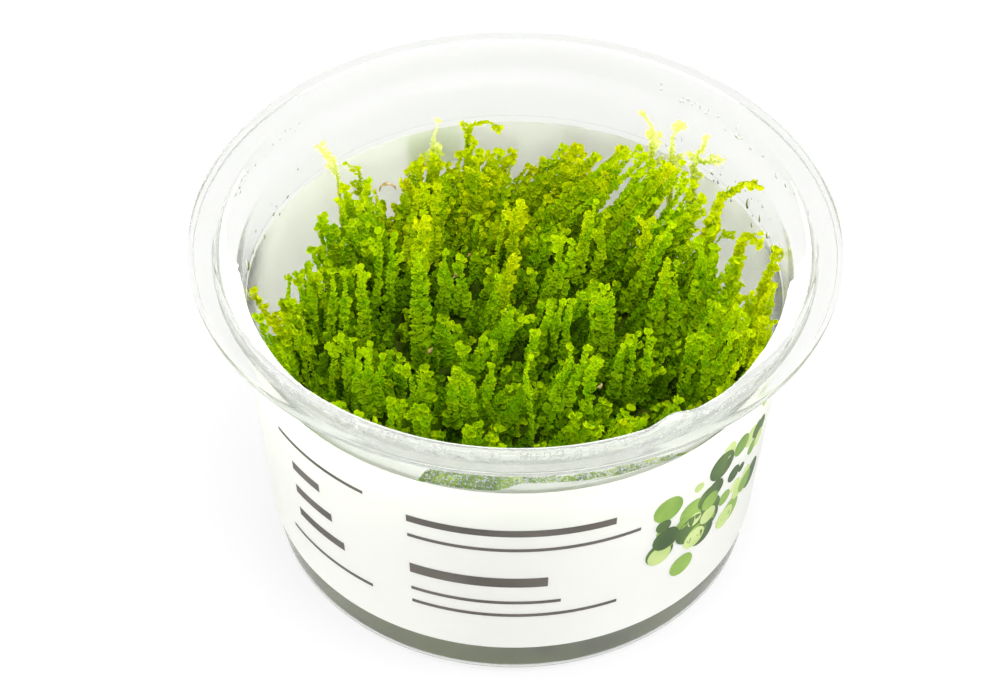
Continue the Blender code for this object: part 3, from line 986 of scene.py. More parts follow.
def stemTube(route, radii, tint, sides=5):
    # a thin tube along a route, in the same arrays as the leaves
    ahead = np.gradient(route, axis=0)
    ahead /= np.linalg.norm(ahead, axis=1, keepdims=True)
    across = np.cross(ahead, np.array([0.31, 0.95, 0.05]))
    across /= np.linalg.norm(across, axis=1, keepdims=True)
    other = np.cross(ahead, across)
    turns = 2 * math.pi * np.arange(sides) / sides
    ring = (np.cos(turns)[None, :, None] * across[:, None, :]
            + np.sin(turns)[None, :, None] * other[:, None, :])
    points = (route[:, None, :] + radii[:, None, None] * ring).reshape(-1, 3)
    faces = []
    for row in range(len(route) - 1):
        for step in range(sides):
            after = (step + 1) % sides
            a, b = row * sides + step, row * sides + after
            faces += [(a, b, b + sides), (a, b + sides, a + sides)]
    colours = np.zeros((len(points), 4), np.float32)
    colours[:, 0] = np.repeat(np.linspace(0.35, 0.95, len(route)), sides)
    colours[:, 1] = 0.2
    colours[:, 2] = tint
    colours[:, 3] = 0.5
    return points, np.array(faces), colours


def meshFromHeap(name, heap, material=leafGreen):
    arrays = buildLeaves(heap)
    for stem in heap.stems:
        arrays = joinArrays(arrays, stem)
    points, triangles, colours = arrays
    mesh = bpy.data.meshes.new(name)
    mesh.vertices.add(len(points))
    mesh.vertices.foreach_set("co", points.astype(np.float32).ravel())
    mesh.loops.add(3 * len(triangles))
    mesh.loops.foreach_set("vertex_index", triangles.astype(np.int32).ravel())
    mesh.polygons.add(len(triangles))
    mesh.polygons.foreach_set("loop_start", np.arange(0, 3 * len(triangles), 3, dtype=np.int32))
    mesh.update(calc_edges=True)
    layer = mesh.attributes.new("growth", "FLOAT_COLOR", "POINT")
    layer.data.foreach_set("color", colours.astype(np.float32).ravel())
    mesh.shade_smooth()
    mesh.materials.append(material)
    piece = bpy.data.objects.new(name, mesh)
    bpy.context.scene.collection.objects.link(piece)
    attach(piece, "root")
    print(name, len(triangles), "triangles")
    return piece


def alongRoute(route, spacing):
    # evenly spaced points on a smooth route through given points
    ends = np.concatenate([[2 * route[0] - route[1]], route, [2 * route[-1] - route[-2]]])
    fine = []
    for k in range(len(route) - 1):
        a, b, c, d = ends[k:k + 4]
        for t in np.linspace(0, 1, 12, endpoint=False):
            fine.append(0.5 * (2 * b + (c - a) * t + (2 * a - 5 * b + 4 * c - d) * t ** 2
                               + (3 * b - a - 3 * c + d) * t ** 3))
    fine = np.array(fine + [route[-1]])
    steps = np.linalg.norm(np.diff(fine, axis=0), axis=1)
    run = np.concatenate([[0], np.cumsum(steps)])
    places = np.arange(0, run[-1], spacing)
    return np.stack([np.interp(places, run, fine[:, k]) for k in range(3)], 1)


shootKinds = {
    # half width, leaf width share, spacing, spread from the stem, shelf tilt, cup, taper at the tip
    "broad": {"half": 1.58, "share": 0.68, "spacing": 0.55,
              "spread": 70, "tilt": 26, "cup": 0.22, "taper": 0.40},
    "slim": {"half": 1.18, "share": 0.84, "spacing": 0.52,
             "spread": 62, "tilt": 28, "cup": 0.30, "taper": 0.50},
    "beaded": {"half": 1.02, "share": 0.94, "spacing": 0.70,
               "spread": 54, "tilt": 32, "cup": 0.42, "taper": 0.80},
    "feather": {"half": 1.05, "share": 0.46, "spacing": 0.46,
                "spread": 50, "tilt": 22, "cup": 0.14, "taper": 0.55},
}


def towards(vectors, away):
    # the part of each vector square to another direction, one unit long
    square = vectors - (vectors * away).sum(1, keepdims=True) * away
    return square / np.linalg.norm(square, axis=1, keepdims=True)


def growthOf(along, tint, random):
    # what the finish reads for each leaf, and how surely the leaf is seen
    count = len(along)
    return np.stack([along, np.full(count, tint), random.uniform(0, 1, count), np.ones(count)], 1)


def tipLobes(heap, tip, ahead, side, face, size, growth, tint, lobes=2):
    # the round leaves that end a shoot
    random = heap.random
    for lobe in range(lobes):
        turn = math.pi * lobe + random.normal(0, 0.4)
        spread = math.radians(random.uniform(20, 55))
        out = math.cos(turn) * side + math.sin(turn) * face
        axis = (math.sin(spread) * out + math.cos(spread) * ahead)[None]
        axis /= np.linalg.norm(axis)
        up = towards((face + 0.5 * random.normal(0, 1, 3))[None], axis)
        heap.add(tip[None], axis, up, np.array([size * random.uniform(0.8, 1.25)]), np.array([0.95]),
                 np.array([random.uniform(0.3, 0.55)]), growthOf(np.array([growth]), tint, random))


def growShoot(heap, route, kind, facing, scale=1.0, ranks=2, tint=0.5, low=0.0, high=1.0, sprigs=0):
    # leaves in ranks along a route, larger below and smaller at the tip, with short side sprigs
    look = shootKinds[kind]
    random = heap.random
    points = alongRoute(route, look["spacing"] * mm)
    count = len(points)
    if count < 3:
        return
    ahead = np.gradient(points, axis=0)
    ahead /= np.linalg.norm(ahead, axis=1, keepdims=True)
    share = np.arange(count) / (count - 1)
    turn = facing + 0.25 * np.sin(share * random.uniform(2, 6) + random.uniform(0, 6))
    face = towards(np.stack([np.cos(turn), np.sin(turn), np.zeros(count)], 1), ahead)
    side = np.cross(ahead, face)
    taper = 1 - (1 - look["taper"]) * share ** random.uniform(1.2, 2.6)
    bulge = 1 + 0.12 * np.sin(share * random.uniform(5, 14) + random.uniform(0, 6))
    half = look["half"] * mm * scale * taper * bulge
    growthShare = low + (high - low) * share
    outs = [side, -side, face, -face][:ranks]
    for number, out in enumerate(outs):
        spread = np.radians(look["spread"] * (1 - 0.40 * share ** 3) + random.normal(0, 9, count))[:, None]
        axis = np.sin(spread) * out + np.cos(spread) * ahead
        axis = axis + random.normal(0, 0.10, (count, 3))
        axis /= np.linalg.norm(axis, axis=1, keepdims=True)
        tilt = np.radians(look["tilt"] + random.normal(0, 12, count))[:, None]
        flat = towards(face if number < 2 else side, axis)
        up = np.cos(tilt) * flat + np.sin(tilt) * towards(ahead, axis)
        up /= np.linalg.norm(up, axis=1, keepdims=True)
        length = half * (1.0 if number < 2 else 0.70) * random.uniform(0.74, 1.14, count)
        width = look["share"] * random.uniform(0.88, 1.15, count)
        cup = look["cup"] + random.normal(0, 0.09, count)
        growth = growthOf(growthShare, tint, random)
        growth[:, 3] = share
        shifted = points + (0.5 * (number % 2)) * look["spacing"] * mm * ahead
        heap.add(shifted, axis, up, length, width, cup, growth)
    tipLobes(heap, points[-1], ahead[-1], side[-1], face[-1], 1.05 * mm * min(scale, 1.1), high + 0.1, tint,
             lobes=random.integers(2, 5))
    for sprig in range(sprigs):
        growSprig(heap, points, ahead, side, face, half, growthShare, tint)


sprigSet = {"length": (1.4, 3.2), "leaf": 0.90, "spacing": 0.62, "from": 0.45}


def growSprig(heap, points, ahead, side, face, half, growthShare, tint, look=sprigSet):
    # a short side branch with a few pairs of small round leaves
    random = heap.random
    place = int(random.uniform(look["from"], 0.97) * (len(points) - 1))
    sign = random.choice((-1, 1))
    out = sign * random.uniform(0.5, 1.0) * side[place] + random.uniform(-0.5, 0.7) * face[place]
    way = out + random.uniform(0.9, 1.8) * ahead[place]
    way /= np.linalg.norm(way)
    start = points[place] + way * half[place] * 0.35
    steps = max(2, int(random.uniform(*look["length"]) / look["spacing"]))
    run = np.arange(steps)[:, None] * look["spacing"] * mm
    bend = random.normal(0, 0.10, 3)
    centre = start + way * run + bend * run * np.arange(steps)[:, None] / steps
    ways = np.repeat(way[None], steps, 0)
    flat = towards(np.repeat((face[place] + 0.3 * random.normal(0, 1, 3))[None], steps, 0), ways)
    across = np.cross(ways, flat)
    grown = min(1.0, growthShare[place] + 0.12)
    for sign in (1, -1):
        spread = np.radians(random.normal(58, 10, steps))[:, None]
        axis = np.sin(spread) * sign * across + np.cos(spread) * ways
        up = towards(flat + 0.25 * random.normal(0, 1, (steps, 3)), axis)
        heap.add(centre, axis, up, look["leaf"] * mm * random.uniform(0.8, 1.2, steps), np.full(steps, 0.92),
                 random.uniform(0.2, 0.45, steps), growthOf(np.full(steps, grown), tint, random))
    tipLobes(heap, centre[-1], ways[0], across[0], flat[0], 0.90 * mm, grown + 0.12, tint)


def growBundle(heap, root, tip, kind, strands, pitch, droop, facing,
               scale=1.0, tint=0.5, low=0.0, high=1.0, sprigs=1):
    # shoots side by side that read as one frilly column; droop lowers the outer tips
    random = heap.random
    root, tip = np.array(root, float), np.array(tip, float)
    length = np.linalg.norm(tip - root)
    ahead = (tip - root) / length
    sideways = np.cross(ahead, np.array([math.cos(facing), math.sin(facing), 0.0]))
    sideways /= np.linalg.norm(sideways)
    for strand in range(strands):
        offset = (strand - (strands - 1) / 2) * pitch
        depth = random.normal(0, 0.35)
        drop = droop * abs(offset) + abs(random.normal(0, 0.6))
        wander = random.normal(0, 0.30, 3)
        tipHere = tip + sideways * offset * 0.8 - ahead * drop + wander
        rootHere = root + sideways * offset * 1.1 + wander
        rootHere[1] += depth
        bow = 0.5 * (tipHere + rootHere) + random.normal(0, 0.40, 3)
        neck = 0.22 * rootHere + 0.78 * tipHere
        tipHere = tipHere + random.normal(0, 0.40, 3)
        route = np.array([insideWall(rootHere, 2.0), insideWall(bow, 1.8), insideWall(neck, 1.6),
                          insideWall(tipHere, 1.3)]) * mm
        if random.uniform() < 0.13 and high > 0.8:
            wetTips.append(tipHere * mm)
        ranks = 3 if random.uniform() < 0.45 else 2
        turned = facing + random.normal(0, 0.30)
        size = scale * random.uniform(0.88, 1.12)
        shade = min(1, max(0, tint + random.normal(0, 0.09)))
        growShoot(heap, route, kind, turned, scale=size, ranks=ranks, tint=shade, low=low, high=high,
                  sprigs=random.integers(0, 1 + sprigs))


# tips that carry a bead of water, noted while the shoots grow
wetTips = []
# shoots turn their flat side to the front
frontFacing = -math.pi / 2

mossSet = {
    "seed": 11, "spacing": 4.5, "jitter": 1.3, "reach": 39.6, "edge": 35.0, "edgeTop": 35.5,
    "length": (11.0, 15.0), "lowest": 20.0, "ridge": 1.5,
    "underSpacing": 4.0, "underJitter": 0.8, "underEdge": 35.5, "underTip": (33.4, 36.0), "underLength": 7.0,
    "regions": ("back", "left", "middle", "right", "front"),
}


def cushionTop():
    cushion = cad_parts["moss_cushion"]
    mesh = cushion.data
    tree = BVHTree.FromPolygons([v.co[:] for v in mesh.vertices], [p.vertices[:] for p in mesh.polygons])

    def height(x, y):
        hit = tree.ray_cast(Vector((x * mm, y * mm, 0.08)), Vector((0, 0, -1)))
        return None if hit[0] is None else hit[0].z / mm
    return height


topOf = cushionTop()


def smoothStep(value, low, high):
    share = min(1.0, max(0.0, (value - low) / (high - low)))
    return share * share * (3 - 2 * share)


def leanAt(x, y):
    # how far a shoot leans across and away, per millimetre of height
    across = -0.12 + 0.62 * smoothStep(x, -24, 4)
    across = across + 0.40 * smoothStep(x, 4, 16) * (1 - smoothStep(x, 24, 34))
    across -= 0.18 * smoothStep(-x, 26, 36)
    away = 0.60 - 0.20 * smoothStep(y, 5, 30)
    return across, away


def paintedLightAt(x, y):
    # painted light: shoots by the lit wall at the back and the right are painted paler down to their feet
    return (0.46 * smoothStep(y, 14, 33)
            + 0.42 * smoothStep(x, 28, 39) * smoothStep(y, -30, 0)
            + 0.20 * smoothStep(-x, 26, 36) * smoothStep(y, -14, 10)
            + 0.12 * smoothStep(x, 4, 14) * smoothStep(-y, 8, 16))


def regionOf(x, y):
    if y > 22:
        return "back"
    if y < -14:
        return "front"
    if x < -14:
        return "left"
    if x > 14:
        return "right"
    return "middle"


def insideWall(point, margin):
    # keeps a place clear of the cup's wall
    room = wallRadius(point[2]) - cupSet["wall"] - margin
    reach = math.hypot(point[0], point[1])
    if reach > room:
        point[:2] *= room / reach
    return point


# Columns that stand out: kind, shoots side by side, pitch, droop, tip, root
columns = [
    ("broad", 2, 1.6, 0.5, (-15.6, 15.5, 42.3), (-13.9, -5.0, 31.0)),
    ("slim", 4, 1.3, 1.0, (-22.5, -6.5, 41.0), (-21.9, -15.0, 33.0)),
    ("slim", 4, 1.7, 0.3, (-26.2, 10.5, 41.5), (-25.7, -1.0, 32.0)),
    ("feather", 3, 1.8, 0.6, (-27.2, -3.6, 40.2), (-26.4, -11.5, 32.0)),
    ("feather", 1, 1.0, 0.5, (-33.4, 1.5, 39.4), (-29.6, -11.5, 32.0)),
    ("feather", 2, 2.0, 0.8, (-35.6, -3.0, 40.5), (-33.2, -7.0, 31.0)),
    ("beaded", 4, 1.9, 0.5, (-33.6, 10.5, 40.6), (-33.4, 4.0, 31.0)),
    ("beaded", 2, 1.8, 0.4, (-20.9, 18.0, 43.0), (-21.2, 8.0, 33.0)),
    ("broad", 3, 1.9, 0.5, (-14.9, 27.5, 44.6), (-16.0, 20.5, 33.0)),
    ("slim", 3, 1.4, 0.8, (-0.3, 25.5, 42.2), (-3.2, 13.0, 32.0)),
    ("beaded", 2, 1.5, 0.6, (-1.7, 9.0, 42.2), (-5.4, 3.0, 33.0)),
    ("broad", 2, 1.7, 0.6, (8.8, 17.5, 43.0), (5.4, 10.0, 33.0)),
    ("slim", 3, 1.6, 0.6, (12.9, 23.0, 43.4), (10.4, 15.0, 33.0)),
    ("broad", 3, 1.7, 0.5, (14.1, 5.5, 42.4), (13.3, -1.0, 32.0)),
    ("broad", 2, 1.6, 0.6, (25.2, 17.5, 46.0), (17.6, 9.0, 33.0)),
    ("broad", 3, 1.7, 0.4, (24.4, 11.5, 42.4), (22.3, 1.5, 32.0)),
    ("slim", 3, 1.5, 0.5, (30.1, 13.0, 44.4), (29.0, 4.0, 33.0)),
    ("beaded", 2, 1.4, 0.6, (3.1, -4.0, 42.4), (2.1, -8.0, 34.0)),
    ("beaded", 1, 1.0, 0.4, (-4.2, -11.8, 42.0), (-1.2, -18.0, 34.0)),
    ("slim", 1, 1.0, 0.4, (2.2, -12.0, 43.6), (3.4, -22.5, 35.0)),
    ("broad", 3, 1.7, 0.6, (-8.2, -12.6, 41.4), (-7.8, -17.0, 33.0)),
    ("broad", 3, 1.8, 0.5, (11.5, -9.2, 42.8), (6.6, -18.0, 33.0)),
    ("feather", 2, 1.5, 0.7, (-15.8, -11.2, 41.4), (-14.4, -14.5, 34.0)),
    ("beaded", 2, 1.6, 0.4, (-17.9, -20.2, 41.8), (-17.9, -22.0, 33.0)),
    ("beaded", 2, 1.2, 0.6, (-14.7, -20.8, 41.4), (-14.3, -22.5, 33.0)),
    ("feather", 3, 2.0, 0.4, (11.3, -23.6, 42.4), (10.8, -24.0, 33.0)),
    ("broad", 2, 1.8, 0.5, (-9.7, 14.2, 42.0), (-9.9, 8.0, 33.0)),
    ("slim", 3, 1.5, 0.6, (32.2, 1.8, 43.4), (31.0, -3.0, 33.0)),
    ("beaded", 3, 1.7, 0.5, (29.0, -4.8, 42.0), (27.4, -11.0, 33.0)),
    ("slim", 3, 1.5, 0.6, (19.7, -3.0, 42.0), (17.6, -11.0, 33.0)),
    ("slim", 3, 1.5, 0.6, (7.2, 4.0, 41.6), (5.6, -2.0, 33.0)),
    ("beaded", 2, 1.5, 0.5, (22.4, 18.8, 44.4), (18.8, 14.0, 34.0)),
    ("slim", 3, 1.6, 0.6, (36.6, 1.0, 45.6), (35.6, -3.0, 34.0)),
    ("slim", 2, 1.5, 0.4, (40.3, -0.5, 49.0), (38.4, -2.6, 35.0)),
    ("slim", 2, 1.5, 0.4, (39.8, -6.5, 47.4), (37.6, -7.5, 34.0)),
    ("broad", 2, 1.5, 0.5, (37.4, -12.5, 45.2), (35.8, -12.5, 33.0)),
    ("feather", 2, 1.5, 0.5, (-39.9, -4.0, 44.8), (-37.0, -5.6, 33.0)),
    ("feather", 2, 1.5, 0.5, (-38.4, -8.6, 41.6), (-36.2, -9.0, 33.0)),
    ("slim", 1, 1.0, 0.4, (8.4, -39.6, 48.4), (6.8, -37.0, 37.0)),
]

# Tip heights of the shoots by the wall, by bearing from the right; the back ones make clumps with gaps
wallRow = {
    "reach": 36.6, "swell": 0.5, "behindFrom": 4,
    "tips": [(2, 46.0), (9, 42.8), (16, 43.0), (23, 43.0), (29, 44.5), (34, 47.5), (39, 49.3), (44, 50.0),
             (49, 49.8), (54, 49.5), (59, 48.5), (64, 47.0), (68.5, 45.0), (73, 46.0), (77, 46.0),
             (81, 42.0), (86, 40.0), (91, 42.0), (95, 45.5), (99, 46.5), (103.5, 44.0), (108, 42.0),
             (112.5, 44.8), (117, 45.0), (121, 39.5), (125, 37.5), (129, 38.5), (134, 44.0),
             (138.5, 46.0), (143, 45.6), (148, 43.5), (153, 40.0), (158, 38.5), (163, 38.0),
             (168, 37.4), (174, 37.4), (180, 38.0), (186, 38.8), (192, 39.2), (198, 38.8), (204, 38.2),
             (211, 38.4), (219, 38.8), (228, 39.2), (237, 39.6), (246, 40.4), (254, 41.6), (262, 42.8),
             (270, 43.2), (278, 43.0), (286, 41.8), (296, 40.6), (306, 40.6), (315, 39.8), (324, 40.2),
             (332, 40.8), (340, 42.4), (348, 45.0), (355, 46.4)],
}


sightSet = {
    # in front of a column: how far to its side, how far before it, the slope of sight and how far below that
    "beside": 0.6, "before": 14.0, "slope": 1.05, "below": 0.9,
    # right beside a column: how far to its side, from behind it to before it, and how far below it
    "nearBeside": 2.0, "near": (-2.0, 3.0), "nearBelow": 2.0,
}


def clearOf(x, y, z, sights, look=sightSet):
    # lowers a tip that would stand between the camera and a column
    behind, front = look["near"]
    for px, py, pz, half in sights:
        beside = abs(x - px) - half
        before = py - y
        if beside < look["beside"] and 0.0 < before < look["before"]:
            z = min(z, pz + before / look["slope"] - look["below"])
        elif beside < look["nearBeside"] and behind < before < front:
            z = min(z, pz - look["nearBelow"])
    return z


def growMoss(look=mossSet):
    heaps = {name: LeafHeap(look["seed"] + k) for k, name in enumerate(look["regions"])}
    random = np.random.default_rng(look["seed"])
    sights = []
    for kind, strands, pitch, droop, tip, root in columns:
        half = 0.5 * (strands - 1) * pitch + 1.2
        for share in np.linspace(0.0, 0.92, 9):
            place = np.array(tip) * (1 - share) + np.array(root) * share
            sights.append((place[0], place[1], place[2], half))
    for kind, strands, pitch, droop, tip, root in columns:
        x, y = tip[:2]
        bright = paintedLightAt(x, y)
        facing = frontFacing + random.normal(0, 0.15)
        # tint and colours raised near the lit walls: painted light
        growBundle(heaps[regionOf(x, y)], root, tip, kind, strands, pitch, droop, facing,
                   tint=0.42 + 1.1 * bright, low=0.27 + bright, high=1.0)
    growFill(heaps, random, sights, look)
    growWallRow(heaps, random)
    growUnder(heaps, random, look)
    for name, heap in heaps.items():
        piece = meshFromHeap("mossShoots" + name.capitalize(), heap)
        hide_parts("moss_cushion")


def growFill(heaps, random, sights, look):
    # bundles in staggered rows, lowered where a column should be seen
    step = look["spacing"]
    for row in range(int(2 * look["reach"] / (step * 0.866)) + 2):
        for column in range(int(2 * look["reach"] / step) + 2):
            x = -look["reach"] + (column + 0.5 * (row % 2)) * step + random.normal(0, look["jitter"])
            y = -look["reach"] + row * step * 0.866 + random.normal(0, look["jitter"])
            pick = random.uniform()
            length = random.uniform(*look["length"])
            sink = abs(random.normal(0, 1.7))
            facing = frontFacing + random.normal(0, 0.55)
            lean = random.normal(0, 0.14, 2)
            tint = random.uniform(0.2, 0.6)
            scale = random.uniform(0.85, 1.15)
            strands = random.integers(2, 4)
            edge = math.hypot(x, y)
            if edge > look["edge"]:
                continue
            top = topOf(x, y) or look["edgeTop"]
            if pick < 0.40:
                kind = "broad"
            elif pick < 0.70:
                kind = "slim"
            else:
                kind = "beaded" if pick < 0.85 else "feather"
            ridge = look["ridge"] * math.sin(0.62 * x + 0.25 * y + 1.0)
            ridge *= math.sin(0.55 * y - 0.30 * x + 2.3)
            z = clearOf(x, y, top + 0.6 - sink + ridge, sights)
            across, away = leanAt(x, y)
            slope = np.array([across + lean[0], away + lean[1], 1.0])
            if edge > 27:
                # beside the wall nothing leans inwards, since its foot would stand in the plastic
                outward = np.array([x, y]) / edge
                slope[:2] -= outward * min(0.0, slope[:2] @ outward) * smoothStep(edge, 27, 36)
            tip = np.array([x, y, z])
            root = tip - slope * length / np.linalg.norm(slope)
            root[2] = max(root[2], look["lowest"])
            bright = paintedLightAt(x, y)
            # tint and colours raised near the lit walls: painted light
            growBundle(heaps[regionOf(x, y)], root, tip, kind, strands, 1.35, 0.5, facing, scale=scale,
                       tint=tint + 0.95 * bright, low=bright, high=0.84 + 0.14 * bright)


def growUnder(heaps, random, look):
    # low shaded shoots that cover the foot of the moss between the bundles
    step = look["underSpacing"]
    for row in range(int(2 * look["reach"] / step) + 1):
        for column in range(int(2 * look["reach"] / step) + 1):
            x = -look["reach"] + column * step + random.normal(0, look["underJitter"])
            y = -look["reach"] + row * step + random.normal(0, look["underJitter"])
            z = random.uniform(*look["underTip"])
            facing = frontFacing + random.normal(0, 0.5)
            if math.hypot(x, y) > look["underEdge"]:
                continue
            across, away = leanAt(x, y)
            tip = np.array([x, y, z])
            root = tip - np.array([across, away, 1.0]) * look["underLength"]
            route = np.array([root, 0.5 * (root + tip), tip]) * mm
            heap = heaps[regionOf(x, y)]
            start = len(heap.rows)
            growShoot(heap, route, "broad", facing, scale=1.15, ranks=2, tint=random.uniform(0.2, 0.6),
                      low=0.0, high=0.26 + 0.5 * paintedLightAt(x, y))
            for leaves in heap.rows[start:]:
                leaves[6][:, 3] = 0.0


def growWallRow(heaps, random, look=wallRow):
    # bundles along the wall, the tall ones behind with lower ones in front
    for bearing, height in look["tips"]:
        turn = math.radians(bearing + random.normal(0, 0.6))
        reach = look["reach"] + random.normal(0, look["swell"])
        tip = np.array([reach * math.cos(turn), reach * math.sin(turn), height + random.normal(0, 0.4)])
        across, away = leanAt(tip[0], tip[1])
        slope = np.array([across, 0.6 * away, 1.0]) + np.array([*random.normal(0, 0.08, 2), 0])
        outward = tip[:2] / reach
        slope[:2] -= outward * min(0.0, slope[:2] @ outward)
        root = tip - slope * random.uniform(11, 15)
        kind = ("slim", "broad", "beaded", "slim")[random.integers(0, 4)]
        bright = paintedLightAt(tip[0], tip[1])
        behind = tip[1] > look["behindFrom"]
        pitch, scale = (1.25, 1.1) if behind else (1.5, 1.0)
        strands = random.integers(2, 4)
        facing = frontFacing + random.normal(0, 0.5)
        tint = random.uniform(0.3, 0.6) + 0.9 * bright
        # tint and colours raised near the lit walls: painted light
        growBundle(heaps[regionOf(tip[0], tip[1])], root, tip, kind, strands, pitch, 0.6, facing,
                   scale=scale, tint=tint, low=bright, high=0.95, sprigs=2)
        if behind:
            # a lower bundle in front closes the gaps between the tall ones
            inner = 0.92 * tip
            inner[0] += random.normal(0, 1.0)
            inner[2] = height - random.uniform(1.5, 3.5)
            facing = frontFacing + random.normal(0, 0.4)
            tint = random.uniform(0.2, 0.6) + 0.9 * bright
            foot = inner - slope * 12.0
            growBundle(heaps[regionOf(inner[0], inner[1])], foot, inner, "broad", 3, 1.5, 0.5, facing,
                       tint=tint, low=0.8 * bright, high=0.9, sprigs=1)


bedSet = {
    "around": 96, "bottom": 10.2,
    # heights of the rings up the side, and how far the side stays from the cup's outer side
    "side": (10.2, 11.2, 18.0, 26.0), "clear": 2.0,
    # rings of the uneven top, its radius and its height at the edge and in the middle
    "rings": 18, "reach": 37.5, "top": 30.0, "middle": 30.5,
}


def makeBed(look=bedSet):
    # the shaded lower part of the moss, matted together over the gel
    around = look["around"]
    rings = look["rings"]
    sides = len(look["side"])
    vertices, faces = [], []
    vertices.append((0, 0, look["bottom"] * mm))
    for ring, z in enumerate(look["side"], 1):
        for step in range(around):
            bearing = 2 * math.pi * step / around
            reach = wallRadius(z) - look["clear"]
            wave = 0.5 * math.sin(7 * bearing) + 0.4 * math.sin(17 * bearing + 1)
            reach = reach * 0.985 + (wave if ring > 1 else 0) - (1.5 if ring == 1 else 0)
            vertices.append((reach * math.cos(bearing) * mm, reach * math.sin(bearing) * mm, z * mm))
    for ring in range(rings):
        share = 1 - (ring + 1) / (rings + 1)
        for step in range(around):
            bearing = 2 * math.pi * step / around
            reach = look["reach"] * share
            x, y = reach * math.cos(bearing), reach * math.sin(bearing)
            z = look["top"] + 1.3 * math.sin(0.9 * x + 0.4 * y) + 1.2 * math.sin(1.1 * y - 0.5 * x)
            z -= 3.0 * share ** 6
            vertices.append((x * mm, y * mm, z * mm))
    vertices.append((0, 0, look["middle"] * mm))
    last = len(vertices) - 1
    for step in range(around):
        after = (step + 1) % around
        faces.append((0, 1 + after, 1 + step))
    for ring in range(sides + rings - 1):
        for step in range(around):
            after = (step + 1) % around
            a, b = 1 + ring * around + step, 1 + ring * around + after
            faces.append((a, b, b + around, a + around))
    start = 1 + (sides + rings - 1) * around
    for step in range(around):
        after = (step + 1) % around
        faces.append((start + step, start + after, last))
    piece = addPiece("mossFoot", vertices, faces, bedMoss)
    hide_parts("moss_cushion")


growMoss()
makeBed()
print("moss grown")


# The shoots that stand clear, along the routes of their solids:
# CAD node, name of the piece, kind, scale, points of the route

freeShoots = [
    ("shoot_back_left_tall", "leafyBackLeftTall", "feather", 0.66,
     [(-28.4, 27.2, 33.5), (-29.2, 27.5, 47.0), (-30.6, 26.6, 50.5), (-31.9, 25.5, 53.2)]),
    ("shoot_back_left_curl", "leafyBackLeftCurl", "feather", 0.72,
     [(-25.4, 28.6, 33.5), (-25.6, 29.2, 44.5), (-27.0, 29.4, 45.8), (-28.0, 28.9, 47.2)]),
    ("shoot_back_thin", "leafyBackThin", "feather", 0.85,
     [(-14.3, 34.6, 33.5), (-13.8, 35.4, 46.0), (-13.2, 36.0, 48.2), (-12.9, 36.4, 49.8)]),
    ("shoot_back_loop", "leafyBackLoop", "slim", 0.87,
     [(-8.4, 36.4, 33.5), (-8.0, 37.2, 46.6), (-6.4, 37.5, 48.6), (-4.4, 37.4, 48.9), (-2.9, 37.0, 47.6)]),
    ("shoot_back_right_inner", "leafyBackRightInner", "slim", 0.92,
     [(22.2, 32.4, 33.5), (22.0, 33.6, 49.6), (21.4, 34.4, 51.8), (20.6, 34.8, 53.0)]),
    ("shoot_back_right_middle", "leafyBackRightMiddle", "slim", 0.88,
     [(25.4, 30.2, 33.5), (25.2, 31.2, 49.6), (25.9, 31.6, 52.6), (27.0, 31.0, 54.4)]),
    ("shoot_back_right_fork", "leafyBackRightFork", "slim", 0.92,
     [(28.4, 27.6, 33.5), (29.0, 28.2, 49.0), (29.9, 27.9, 51.6), (30.3, 27.4, 54.6)]),
    ("shoot_back_right_branch", "leafyBackRightBranch", "feather", 0.95,
     [(29.4, 28.0, 49.2), (30.5, 27.1, 49.8), (31.6, 26.1, 51.2), (32.6, 25.2, 52.2)]),
    ("shoot_right_leaning", "leafyRightLeaning", "broad", 1.40,
     [(30.0, 18.6, 33.5), (32.2, 19.8, 47.2), (34.4, 20.2, 50.0), (36.3, 19.0, 52.6), (38.2, 16.6, 54.0)]),
    ("shoot_right_arch", "leafyRightArch", "slim", 1.23,
     [(34.6, 11.6, 33.5), (35.8, 12.6, 46.0), (37.4, 12.0, 47.4), (38.6, 10.4, 47.2)]),
    ("shoot_right_wall", "leafyRightWall", "slim", 1.16,
     [(37.6, 4.6, 33.5), (39.2, 4.8, 44.0), (40.0, 5.2, 47.4), (40.6, 5.6, 50.4)]),
    ("shoot_left_wall", "leafyLeftWall", "feather", 1.09,
     [(-36.9, 2.0, 33.5), (-38.8, 1.0, 39.0), (-39.9, 0.4, 42.0), (-40.6, 0.1, 44.8)]),
    ("shoot_left_front", "leafyLeftFront", "feather", 1.09,
     [(-35.4, -3.4, 33.5), (-36.4, -3.0, 40.0), (-37.4, -2.6, 42.0)]),
    ("shoot_middle_left", "leafyMiddleLeft", "broad", 1.16,
     [(-15.6, 14.2, 33.5), (-15.0, 15.0, 44.4), (-14.6, 15.8, 46.4)]),
    ("shoot_middle_back", "leafyMiddleBack", "slim", 1.16,
     [(-0.8, 18.2, 33.5), (-0.2, 19.0, 44.6), (0.8, 19.4, 46.6)]),
    ("shoot_middle", "leafyMiddle", "slim", 1.16,
     [(-1.8, 6.6, 33.5), (-1.2, 7.4, 43.8), (-0.6, 8.0, 45.6)]),
    ("shoot_middle_right", "leafyMiddleRight", "slim", 1.03,
     [(19.8, 14.8, 33.5), (20.8, 15.6, 45.6), (21.8, 16.0, 47.4)]),
]


